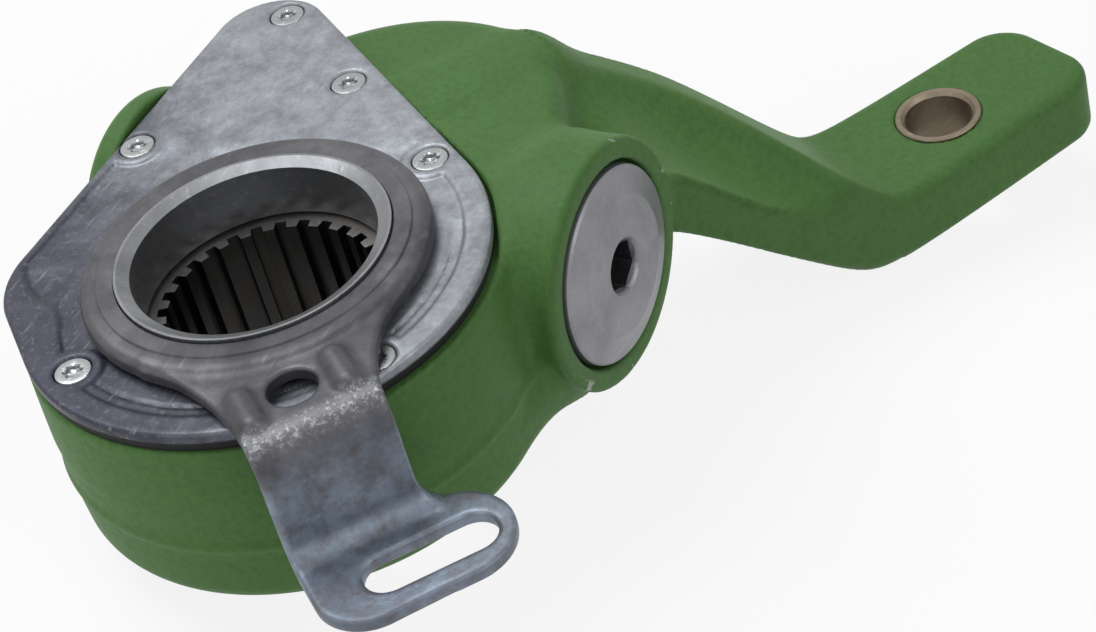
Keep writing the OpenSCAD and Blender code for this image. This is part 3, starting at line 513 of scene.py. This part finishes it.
def metal(name, dark, light, worn, metallic, rough, bump_height, scales=None):
    """Material of a metal piece: clouds between a dark and a light tone, scratches and specks in a worn tone,
    rougher in the dark clouds, with the specks as a low relief."""
    made, tree, shader = finish_material(name, {"Metallic": metallic})
    marks = add(tree, "ShaderNodeGroup", scales, node_tree=clouds)
    base = blend(tree, marks.outputs["Cloud"], dark, light)
    faint = add(tree, "ShaderNodeMath", {0: marks.outputs["Scratch"], 1: 0.12}, operation="MULTIPLY")
    lined = blend(tree, faint.outputs[0], base, worn)
    dust = add(tree, "ShaderNodeMath", {0: marks.outputs["Speck"], 1: 0.35}, operation="MULTIPLY")
    tone = blend(tree, dust.outputs[0], lined, worn)
    tree.links.new(tone, shader.inputs["Base Color"])
    shine = add(tree, "ShaderNodeMapRange", {"Value": marks.outputs["Cloud"], "To Min": rough + 0.08,
                                             "To Max": rough - 0.08})
    tree.links.new(shine.outputs[0], shader.inputs["Roughness"])
    relief = add(tree, "ShaderNodeMath", {0: marks.outputs["Cloud"], 1: marks.outputs["Speck"]},
                 operation="ADD")
    bump = add(tree, "ShaderNodeBump", {"Strength": 0.3, "Distance": bump_height,
                                        "Height": relief.outputs[0]})
    tree.links.new(bump.outputs[0], shader.inputs["Normal"])
    return made


def dress(node_name, material):
    """Gives a node of the frame a material in place of its plain colour."""
    nodes[node_name].data.materials.clear()
    nodes[node_name].data.materials.append(material)


# Clevis bush: a turned bronze sleeve at the end of the lever, in which the push rod's pin turns.
# It is pressed into the paddle and chamfered at both ends.
def lathe(name, profile, steps, place, axis):
    """Turned piece: the profile's radius and height carried round an axis through place. The profile is
    closed, and its points run so that the outside is on the right."""
    r, h = np.array(profile, float).T
    angle = np.linspace(0, 2 * np.pi, steps, endpoint=False)
    axis = np.array(axis, float)
    side = np.cross(axis, (0.3, 0.5, 0.8))
    side /= np.linalg.norm(side)
    third = np.cross(axis, side)
    ring = np.cos(angle)[:, None, None] * side + np.sin(angle)[:, None, None] * third
    points = np.array(place) + r[None, :, None] * ring + h[None, :, None] * axis
    i, j = np.meshgrid(np.arange(steps), np.arange(len(r)), indexing="ij")
    i2, j2 = (i + 1) % steps, (j + 1) % len(r)
    quads = np.stack([i * len(r) + j, i2 * len(r) + j, i2 * len(r) + j2, i * len(r) + j2], -1).reshape(-1, 4)
    made = piece(name, points.reshape(-1, 3), quads)
    made.data.set_sharp_from_angle(angle=0.4)
    return made


bush = lathe("bronze_bush", [
    (7.0, -73.2), (7.6, -74.0), (8.7, -74.0), (8.95, -73.7),
    (8.95, -58.65), (8.75, -58.4), (7.75, -58.4), (7.0, -59.2)],
    96, (BUSH_A * np.cos(LEVER_AZ), BUSH_A * np.sin(LEVER_AZ), 0), (0, 0, 1))
bronze = metal("bronze", (0.155, 0.120, 0.080, 1), (0.270, 0.225, 0.165, 1), (0.40, 0.35, 0.27, 1), 0.75,
               0.40, 0.0002)
bush.data.materials.append(bronze)
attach(bush, "housing")
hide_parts("clevis_bush")

# Worm wheel and its guide ring: hardened steel, oiled, with broached splines. Faces that turn up, such as the
# splines' ends, get a painted highlight, and the flanks a painted shade.
wheel_steel, tree, shader = finish_material("wheel_lit_and_shaded", {"Metallic": 0.85})
facing = add(tree, "ShaderNodeNewGeometry")
split = add(tree, "ShaderNodeSeparateXYZ", {0: facing.outputs["True Normal"]})
# Painted light: faces turned up are coloured bright steel, and the rest near black as painted shade.
ends = add(tree, "ShaderNodeMapRange", {"Value": split.outputs["Z"], "From Min": 0.7, "From Max": 0.9})
marks = add(tree, "ShaderNodeGroup", {"Speck Scale": 1500.0}, node_tree=clouds)
shaded_flank = blend(tree, marks.outputs["Cloud"], (0.014, 0.013, 0.012, 1), (0.042, 0.039, 0.036, 1))
bright = blend(tree, marks.outputs["Speck"], (0.20, 0.19, 0.18, 1), (0.40, 0.39, 0.38, 1))
tone = blend(tree, ends.outputs[0], shaded_flank, bright)
tree.links.new(tone, shader.inputs["Base Color"])
sheen = add(tree, "ShaderNodeMapRange", {"Value": marks.outputs["Cloud"], "To Min": 0.34, "To Max": 0.5})
tree.links.new(sheen.outputs[0], shader.inputs["Roughness"])
dress("worm_wheel", wheel_steel)
dress("wheel_guide_ring", wheel_steel)

# Worm, clutch ring, gear wheel, rack, races and balls: ground steel, greased, inside the housing.
# Only the worm's hexagon shows, in the recess of its boss.
greased = metal("oiled_steel", (0.10, 0.095, 0.09, 1), (0.22, 0.21, 0.20, 1), (0.34, 0.33, 0.32, 1), 0.85,
                0.38, 0.0002)
for inner in ("worm_shaft", "clutch_ring", "gear_wheel", "rack", "worm_side_race", "bearing_balls",
              "spring_side_race", "spring_seat"):
    dress(inner, greased)

# Springs: the one-way spring, the light spring and the main spring on the worm's axis.
# They are wound from drawn steel wire and blued by the heat treatment.
wire = metal("spring_steel", (0.05, 0.05, 0.06, 1), (0.12, 0.12, 0.14, 1), (0.25, 0.25, 0.26, 1), 0.85, 0.4,
             0.0001)
for spring in ("one_way_spring", "light_spring", "main_spring"):
    dress(spring, wire)

# Seals and gasket: black rubber rings in grooves, and the gasket under the cover.
# They are moulded, and held by the pieces that press on them.
rubber, tree, shader = finish_material("black_rubber", {"Metallic": 0.0, "Specular IOR Level": 0.3})
marks = add(tree, "ShaderNodeGroup", node_tree=clouds)
tone = blend(tree, marks.outputs["Cloud"], (0.006, 0.006, 0.007, 1), (0.016, 0.015, 0.016, 1))
tree.links.new(tone, shader.inputs["Base Color"])
dull = add(tree, "ShaderNodeMapRange", {"Value": marks.outputs["Speck"], "To Min": 0.65, "To Max": 0.8})
tree.links.new(dull.outputs[0], shader.inputs["Roughness"])
for seal in ("wheel_seal", "worm_end_seal", "cap_o_ring", "hub_seal", "cover_gasket"):
    dress(seal, rubber)

# Screw cap: turned steel, zinc plated, with a low cone on its face and a hexagon socket.
# It is screwed into the mouth of the worm bore with a hexagon key.
cap_finish, tree, shader = finish_material("turned_cap", {"Metallic": 0.75})
spot = add(tree, "ShaderNodeTexCoord")
centred = add(tree, "ShaderNodeMapping", {"Vector": spot.outputs["Object"],
                                          "Location": (-WORM_X * MM, 0.0, -WORM_Z * MM)})
flat = add(tree, "ShaderNodeVectorMath", {0: centred.outputs[0], 1: (1.0, 0.0, 1.0)}, operation="MULTIPLY")
radius = add(tree, "ShaderNodeVectorMath", {0: flat.outputs[0]}, operation="LENGTH")
lathe_marks = add(tree, "ShaderNodeTexNoise", {"W": radius.outputs["Value"], "Scale": 5000.0,
                                               "Detail": 2.0}, noise_dimensions="1D")
marks = add(tree, "ShaderNodeGroup", {"Cloud Scale": 70.0}, node_tree=clouds)
base = blend(tree, marks.outputs["Cloud"], (0.185, 0.185, 0.20, 1), (0.27, 0.27, 0.29, 1))
# Painted shade: inside the hexagon socket the cap is coloured near black.
socket_shade = add(tree, "ShaderNodeMapRange", {"Value": radius.outputs["Value"], "From Min": 0.0052,
                                             "From Max": 0.0048})
base = blend(tree, socket_shade.outputs[0], base, (0.055, 0.055, 0.06, 1))
dots = add(tree, "ShaderNodeMath", {0: marks.outputs["Speck"], 1: 0.2}, operation="MULTIPLY")
tone = blend(tree, dots.outputs[0], base, (0.42, 0.42, 0.43, 1))
tree.links.new(tone, shader.inputs["Base Color"])
sheen = add(tree, "ShaderNodeMapRange", {"Value": marks.outputs["Cloud"], "To Min": 0.48, "To Max": 0.36})
tree.links.new(sheen.outputs[0], shader.inputs["Roughness"])
bump = add(tree, "ShaderNodeBump", {"Strength": 0.25, "Distance": 0.0001,
                                    "Height": lathe_marks.outputs["Fac"]})
tree.links.new(bump.outputs[0], shader.inputs["Normal"])


def turned_cap(name):
    """Cap as rows of rings about the worm's axis, from the bottom of its socket over the face and back into
    the bore. A row has a radius, a place along the axis and a 1 where it is part of the socket. The socket's
    rows have a hexagon's radius: half its width over the cosine of the angle from the nearest flat."""
    rows = np.array((
        (0.01, -45.8, 0), (4.3, -45.8, 1), (4.3, -51.0, 1), (5.3, -51.9, 0), (5.5, -52.1, 0),
        (13.3, -52.1, 0), (13.6, -51.95, 0), (17.5, -51.0, 0), (18.15, -50.75, 0), (18.5, -50.3, 0),
        (18.6, -49.9, 0), (18.6, -48.4, 0), (17.3, -48.4, 0), (17.3, -47.3, 0), (18.0, -47.3, 0),
        (18.0, -40.4, 0), (12.0, -40.4, 0), (12.0, -44.2, 0), (0.01, -44.2, 0)))
    steps = 120
    angle = np.linspace(0, 2 * np.pi, steps, endpoint=False)[:, None]
    hexagon = 1 / np.cos((angle + np.pi / 6) % (np.pi / 3) - np.pi / 6)
    r = rows[:, 0] * np.where(rows[:, 2] > 0, hexagon, 1.0)
    along = np.broadcast_to(rows[:, 1], r.shape)
    points = np.stack([WORM_X + r * np.cos(angle), along, WORM_Z + r * np.sin(angle)], -1)
    i, j = np.meshgrid(np.arange(steps), np.arange(len(rows) - 1), indexing="ij")
    first, second = i * len(rows) + j, (i + 1) % steps * len(rows) + j
    quads = np.stack([first, first + 1, second + 1, second], -1).reshape(-1, 4)
    made = piece(name, points.reshape(-1, 3), quads)
    made.data.set_sharp_from_angle(angle=0.3)
    return made


cap = turned_cap("turned_cap")
cap.data.materials.append(cap_finish)
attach(cap, "housing")
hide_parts("screw_cap")

# Control hub: turned steel sleeve with a chamfered mouth, in the middle of the cover.
# It carries the control arm, and the disc at its lower end moves the rack.
hub_finish = metal("hub_steel", (0.115, 0.121, 0.130, 1), (0.255, 0.262, 0.272, 1), (0.36, 0.36, 0.37, 1),
                   0.8, 0.36, 0.0001)
dress("control_hub", hub_finish)

# Control arm: sheet steel, blanked, bent twice and pressed up into a ring round the hub, then plated.
# Its slotted tab is bolted to a bracket on the axle.
ARM_AZ = np.radians(-129.3)
HALF_SHEET = 1.4
TAB_Z = -22.9


def bent_sheet(n, z):
    """Distance from the middle of the sheet, seen from its edge: flat neck, bend down, drop, bend out, flat
    tab."""
    neck_end, bend_z, bend_r = 46.2, -2.6, 4.4
    tab_start, foot_z, foot_r = 56, -17.5, 5.4
    neck = np.hypot(np.maximum(n - neck_end, 0), z - bend_z - bend_r)
    bend = np.abs(np.hypot(n - neck_end, z - bend_z) - bend_r)
    bend = np.where((n > neck_end) & (z > bend_z), bend, 99.0)
    drop = np.hypot(n - neck_end - bend_r, np.maximum(z - bend_z, 0) + np.maximum(foot_z - z, 0))
    foot = np.abs(np.hypot(n - tab_start, z - foot_z) - foot_r)
    foot = np.where((n < tab_start) & (z < foot_z), foot, 99.0)
    tab = np.hypot(np.maximum(tab_start - n, 0), z - TAB_Z)
    return np.min([neck, bend, drop, foot, tab], axis=0)


def control_arm(n, t, z):
    """Distance to the control arm, with n along it, t across it and z up: ring, bent strip with the round
    lobe and the slot of the tab, and two pressed ribs, less the hole in its neck."""
    r = np.hypot(n, t)
    ring = np.maximum(rounded_both(z - 4.0 + 0.2 * np.clip(r - 30.2, 0, 2.2) ** 2, r - 32.4, 0.9), 0.4 - z)
    left = np.where(n < 46, 53.3 - np.hypot(n - 46, t + 72.3), -19 - t)
    right = np.where(n < 52, 31.4 - np.hypot(n - 52, t - 37.2), t - 5.8)
    neck = np.maximum(np.maximum(left, right), np.where(z > -8, np.maximum(t - 18.9, -27.4 - t), -99.0))
    foot = np.clip((-15.5 - z) / 6, 0, 1)
    drop = np.maximum(t - 5.8 - 4 * (1 - np.sqrt(1 - foot ** 2 * 0.98)), -19 - t)
    tab_end = 72.7 - 0.03 * (t + 9)
    corner = np.where((n > 62.7) & (t < -9), np.hypot(n - 62.7, t + 9) - 10, n - tab_end)
    lobe_root = np.max([np.abs(n - 62) - 10.5, t - 7.5, 3 - t], axis=0)
    lobe = np.minimum(np.hypot(n - 62, t - 7.5) - 10.5, lobe_root)
    slot = np.hypot(n - 63.3, np.maximum(np.abs(t - 2.3) - 7.85, 0)) - 4.4
    tab = np.maximum(np.minimum(np.max([drop, corner, 56 - n], axis=0), lobe), -slot)
    strip = np.maximum(np.where(z < -8, drop, neck), n - 57.5)
    arm = np.maximum(rounded_both(bent_sheet(n, z) - HALF_SHEET, strip, 0.8), 16 - n)
    arm = np.minimum(arm, rounded_both(np.abs(z - TAB_Z) - HALF_SHEET, tab, 0.8))
    for rib in (-15.7, 1.7):
        bar = np.hypot(np.hypot(np.maximum(np.abs(n - 40.2) - 3.6, 0), t - rib), z - 2.5) - 2.7
        arm = melt(arm, bar, 1.3)
    arm = melt(arm, ring, 1.6)
    arm = np.maximum(arm, 0.4 - z + np.where(n > 43.6, -99.0, 0.0))
    arm = np.maximum(arm, 25.55 - r)
    return cut(arm, np.where(z > -8, np.hypot(n - 38.9, t + 6.9) - 4.5, 99.0), 0.8)


arm = skin("control_arm_sheet", control_arm, (-33.6, -33.6, -25.4), (74.4, 33.6, 6.2), (0.6, 0.6, 0.45),
           ARM_AZ)
# Its plating is grey on the ring, bluish with dull stains below the bend, and rubbed bright on the bend.
# The blue is also made light, as a painted highlight on the lower bend.
arm_finish, tree, shader = finish_material("arm_steel", {"Metallic": 0.6})
marks = add(tree, "ShaderNodeGroup", {"Cloud Scale": 60.0, "Speck Scale": 1100.0}, node_tree=clouds)
spot = add(tree, "ShaderNodeTexCoord")
place = add(tree, "ShaderNodeSeparateXYZ", {0: spot.outputs["Object"]})
below = add(tree, "ShaderNodeMapRange", {"Value": place.outputs["Z"], "From Min": 0.001, "From Max": -0.007})
grey = blend(tree, marks.outputs["Cloud"], (0.042, 0.041, 0.048, 1), (0.110, 0.107, 0.116, 1))
# Tint and painted highlight: the blue below the bend is light enough to stand for the lower bend's sheen.
blue_tint_and_highlight = blend(tree, marks.outputs["Cloud"], (0.118, 0.142, 0.178, 1), (0.225, 0.268, 0.328, 1))
haze = add(tree, "ShaderNodeTexNoise", {"Vector": spot.outputs["Object"], "Scale": 190.0, "Detail": 8.0,
                                        "Roughness": 0.74})
stain = add(tree, "ShaderNodeMapRange", {"Value": haze.outputs["Fac"], "From Min": 0.47, "From Max": 0.66,
                                         "To Max": 0.75})
stained = blend(tree, stain.outputs[0], blue_tint_and_highlight, (0.150, 0.133, 0.142, 1))
base = blend(tree, below.outputs[0], grey, stained)
fleck = add(tree, "ShaderNodeMapRange", {"Value": haze.outputs["Fac"], "From Min": 0.35, "From Max": 0.65,
                                         "To Min": 1.22, "To Max": 0.80})
base = add(tree, "ShaderNodeVectorMath", {0: base, "Scale": fleck.outputs[0]},
           operation="SCALE")
outward = add(tree, "ShaderNodeVectorMath", {0: spot.outputs["Object"],
                                             1: (np.cos(ARM_AZ), np.sin(ARM_AZ), 0.0)},
              operation="DOT_PRODUCT")
off = add(tree, "ShaderNodeMath", {0: outward.outputs["Value"], 1: 0.0480}, operation="SUBTRACT")
away = add(tree, "ShaderNodeMath", {0: off.outputs[0]}, operation="ABSOLUTE")
fold = add(tree, "ShaderNodeMapRange", {"Value": away.outputs[0], "From Min": 0.0032, "From Max": 0.0003})
upper = add(tree, "ShaderNodeMapRange", {"Value": place.outputs["Z"], "From Min": -0.006, "From Max": -0.001})
crumb = add(tree, "ShaderNodeTexNoise", {"Vector": spot.outputs["Object"], "Scale": 1100.0, "Detail": 5.0,
                                         "Roughness": 0.7})
grit = add(tree, "ShaderNodeMapRange", {"Value": crumb.outputs["Fac"], "From Min": 0.50, "From Max": 0.70,
                                        "To Min": 0.15})
rub = add(tree, "ShaderNodeMath", {0: fold.outputs[0], 1: upper.outputs[0]}, operation="MULTIPLY")
rub = add(tree, "ShaderNodeMath", {0: rub.outputs[0], 1: grit.outputs[0]}, operation="MULTIPLY")
faint = add(tree, "ShaderNodeMath", {0: marks.outputs["Scratch"], 1: 0.06}, operation="MULTIPLY")
bare = add(tree, "ShaderNodeMath", {0: rub.outputs[0], 1: faint.outputs[0]}, operation="MAXIMUM")
tone = blend(tree, bare.outputs[0], base.outputs[0], (0.55, 0.57, 0.60, 1))
tree.links.new(tone, shader.inputs["Base Color"])
shine = add(tree, "ShaderNodeMapRange", {"Value": marks.outputs["Cloud"], "To Min": 0.50, "To Max": 0.36})
tree.links.new(shine.outputs[0], shader.inputs["Roughness"])
relief = add(tree, "ShaderNodeMath", {0: rub.outputs[0], 1: 2.0, 2: marks.outputs["Cloud"]},
             operation="MULTIPLY_ADD")
bump = add(tree, "ShaderNodeBump", {"Strength": 0.3, "Distance": 0.0003, "Height": relief.outputs[0]})
tree.links.new(bump.outputs[0], shader.inputs["Normal"])
arm.data.materials.append(arm_finish)
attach(arm, "control_arm")
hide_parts("control_arm")
# Its ring is faced flat on a lathe, which leaves a low step round the hub.
facing = lathe("control_arm_facing", [
    (25.6, 1.0), (29.1, 1.0), (29.1, 4.15), (28.85, 4.4), (25.8, 4.4), (25.6, 4.2)],
    144, (0, 0, 0), (0, 0, 1))
facing.data.materials.append(arm_finish)
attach(facing, "control_arm")

# Cover plate: pressed steel, zinc plated and passivated, held on its gasket by six screws.
# The panel inside the rim is sunk a little, and a low bead runs beside the rack.
SCREWS = ((-32.66, 19.62), (-17.0, -34.1), (34.19, -16.82), (70.1, 35.9), (52.25, 11.23), (26.4, 44.2))


def cover_top(x, y):
    """Height of the cover's upper face: level with the rim on the screw pads and the apex, sunk in the
    panel."""
    pads = np.min([np.hypot(x - px, y - py) for px, py in SCREWS], axis=0)
    apex_part = np.maximum(26 + np.clip(30 - y, 0, 42) * 10 / 42 - x, -12 - y)
    rim = 5.0 - 3.0 * np.clip((y - 32) / 10, 0, 1)
    corner = melt(np.hypot(x + 2, y - 32) - 16, 0.828 * y - 0.56 * x - 36.8, 4)
    corner = np.where((x < 2) & (y > 18), corner, -99.0)
    panel = np.max([cover_side(x, y, 0.0) + rim, 5.6 - pads, -apex_part / 9, corner], axis=0)
    sunk = np.clip(0.5 - panel / 0.9, 0, 1)
    step = np.clip((np.hypot(x + 0.4, y - 1.2) - 35.6) / 0.9, 0, 1) * np.clip((8 - x - 0.4 * y) / 12, 0, 1)
    return -0.55 * sunk * sunk * (3 - 2 * sunk) - 0.3 * sunk * step * (1 - step) * 4


def cover(x, y, z):
    """Distance to the cover plate: its outline and its two faces with rounded edges, less the hub's hole and
    the screws' seats."""
    faces = np.maximum(z - cover_top(x, y), -2.5 - z)
    plate = rounded_both(faces, cover_side(x, y, 0.0), 0.7)
    plate = cut(plate, np.hypot(x, y) - 25.75, 0.5)
    for px, py in SCREWS:
        plate = cut(plate, np.maximum(np.hypot(x - px, y - py) - 3.6, -1.6 - z), 0.35)
    return plate


plate = skin("cover_sheet", cover, (-46, -44, -3.2), (77.2, 51, 0.8), (0.55, 0.55, 0.4))
# Its passivation is pale over the apex and bluish over the barrel. The sweep from dark to pale across
# the plate is partly this tint and partly painted shade.
zinc, tree, shader = finish_material("zinc_cover", {"Metallic": 0.5})
marks = add(tree, "ShaderNodeGroup", {"Cloud Scale": 75.0, "Speck Scale": 900.0}, node_tree=clouds)
spot = add(tree, "ShaderNodeTexCoord")
side = add(tree, "ShaderNodeVectorMath", {0: spot.outputs["Object"], 1: (0.75, -0.66, 0.0)},
           operation="DOT_PRODUCT")
drift = add(tree, "ShaderNodeMath", {0: marks.outputs["Cloud"], 1: 0.018, 2: side.outputs["Value"]},
            operation="MULTIPLY_ADD")
# Tint and painted shade: the plate goes from a dark bluish tone to a pale one along one direction across it.
tint_and_shade_part = add(tree, "ShaderNodeMapRange", {"Value": drift.outputs[0], "From Min": -0.030,
                                             "From Max": 0.031},
                interpolation_type="SMOOTHSTEP")
base = blend(tree, tint_and_shade_part.outputs[0], (0.036, 0.038, 0.058, 1), (0.255, 0.272, 0.297, 1))
mottle = add(tree, "ShaderNodeMapRange", {"Value": marks.outputs["Cloud"], "To Min": 0.74, "To Max": 1.16})
base = add(tree, "ShaderNodeVectorMath", {0: base, "Scale": mottle.outputs[0]},
           operation="SCALE")
haze = add(tree, "ShaderNodeTexNoise", {"Vector": spot.outputs["Object"], "Scale": 260.0, "Detail": 8.0,
                                        "Roughness": 0.78})
fleck = add(tree, "ShaderNodeMapRange", {"Value": haze.outputs["Fac"], "From Min": 0.35, "From Max": 0.65,
                                         "To Min": 0.72, "To Max": 1.30})
base = add(tree, "ShaderNodeVectorMath", {0: base.outputs[0], "Scale": fleck.outputs[0]}, operation="SCALE")
worn = add(tree, "ShaderNodeMath", {0: marks.outputs["Scratch"], 1: marks.outputs["Speck"]},
           operation="MAXIMUM")
faint = add(tree, "ShaderNodeMath", {0: worn.outputs[0], 1: 0.20}, operation="MULTIPLY")
tone = blend(tree, faint.outputs[0], base.outputs[0], (0.55, 0.57, 0.60, 1))
tree.links.new(tone, shader.inputs["Base Color"])
shine = add(tree, "ShaderNodeMapRange", {"Value": marks.outputs["Cloud"], "To Min": 0.50, "To Max": 0.36})
tree.links.new(shine.outputs[0], shader.inputs["Roughness"])
bump = add(tree, "ShaderNodeBump", {"Strength": 0.2, "Distance": 0.0002, "Height": worn.outputs[0]})
tree.links.new(bump.outputs[0], shader.inputs["Normal"])
plate.data.materials.append(zinc)
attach(plate, "housing")
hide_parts("cover_plate")

# Cover screws: six flush machine screws, zinc plated, with a star recess.
# They are headed, rolled and screwed into the housing through the cover and its gasket.
def star_screw(name, places):
    """Screws as rows of rings, from the bottom of the recess over the head and down the shank. A row has a
    radius, a height and a swell. In the recess the radius swells six times a turn: the row's radius times
    one plus its swell times the cosine of six angles."""
    rows = np.array((
        (0.01, -1.15, 0), (1.1, -1.15, 0.10), (1.45, -1.05, 0.17), (1.62, -0.34, 0.15), (1.78, -0.21, 0.10),
        (2.3, -0.2, 0), (3.0, -0.2, 0), (3.28, -0.26, 0), (3.4, -0.42, 0), (3.4, -1.6, 0), (2.0, -1.6, 0),
        (2.0, -6.6, 0), (1.8, -6.8, 0), (0.01, -6.8, 0)))
    steps = 72
    angle = np.linspace(0, 2 * np.pi, steps, endpoint=False)[:, None]
    r = rows[:, 0] * (1 + rows[:, 2] * np.cos(6 * angle))
    one = np.stack([r * np.cos(angle), r * np.sin(angle), np.broadcast_to(rows[:, 1], r.shape)], -1)
    at = np.column_stack([np.array(places, float), np.zeros(len(places))])
    points = (at[:, None, None, :] + one[None]).reshape(-1, 3)
    k, i, j = np.meshgrid(np.arange(len(at)), np.arange(steps), np.arange(len(rows) - 1), indexing="ij")
    first = (k * steps + i) * len(rows) + j
    second = (k * steps + (i + 1) % steps) * len(rows) + j
    quads = np.stack([first, first + 1, second + 1, second], -1).reshape(-1, 4)
    made = piece(name, points, quads)
    made.data.set_sharp_from_angle(angle=0.6)
    return made


screws = star_screw("star_screws", SCREWS)
screw_zinc = metal("zinc_screws", (0.26, 0.275, 0.28, 1), (0.40, 0.42, 0.43, 1), (0.75, 0.76, 0.78, 1),
                   0.75, 0.28, 0.0001)
screws.data.materials.append(screw_zinc)
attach(screws, "housing")
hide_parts("cover_screws")

low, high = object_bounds()
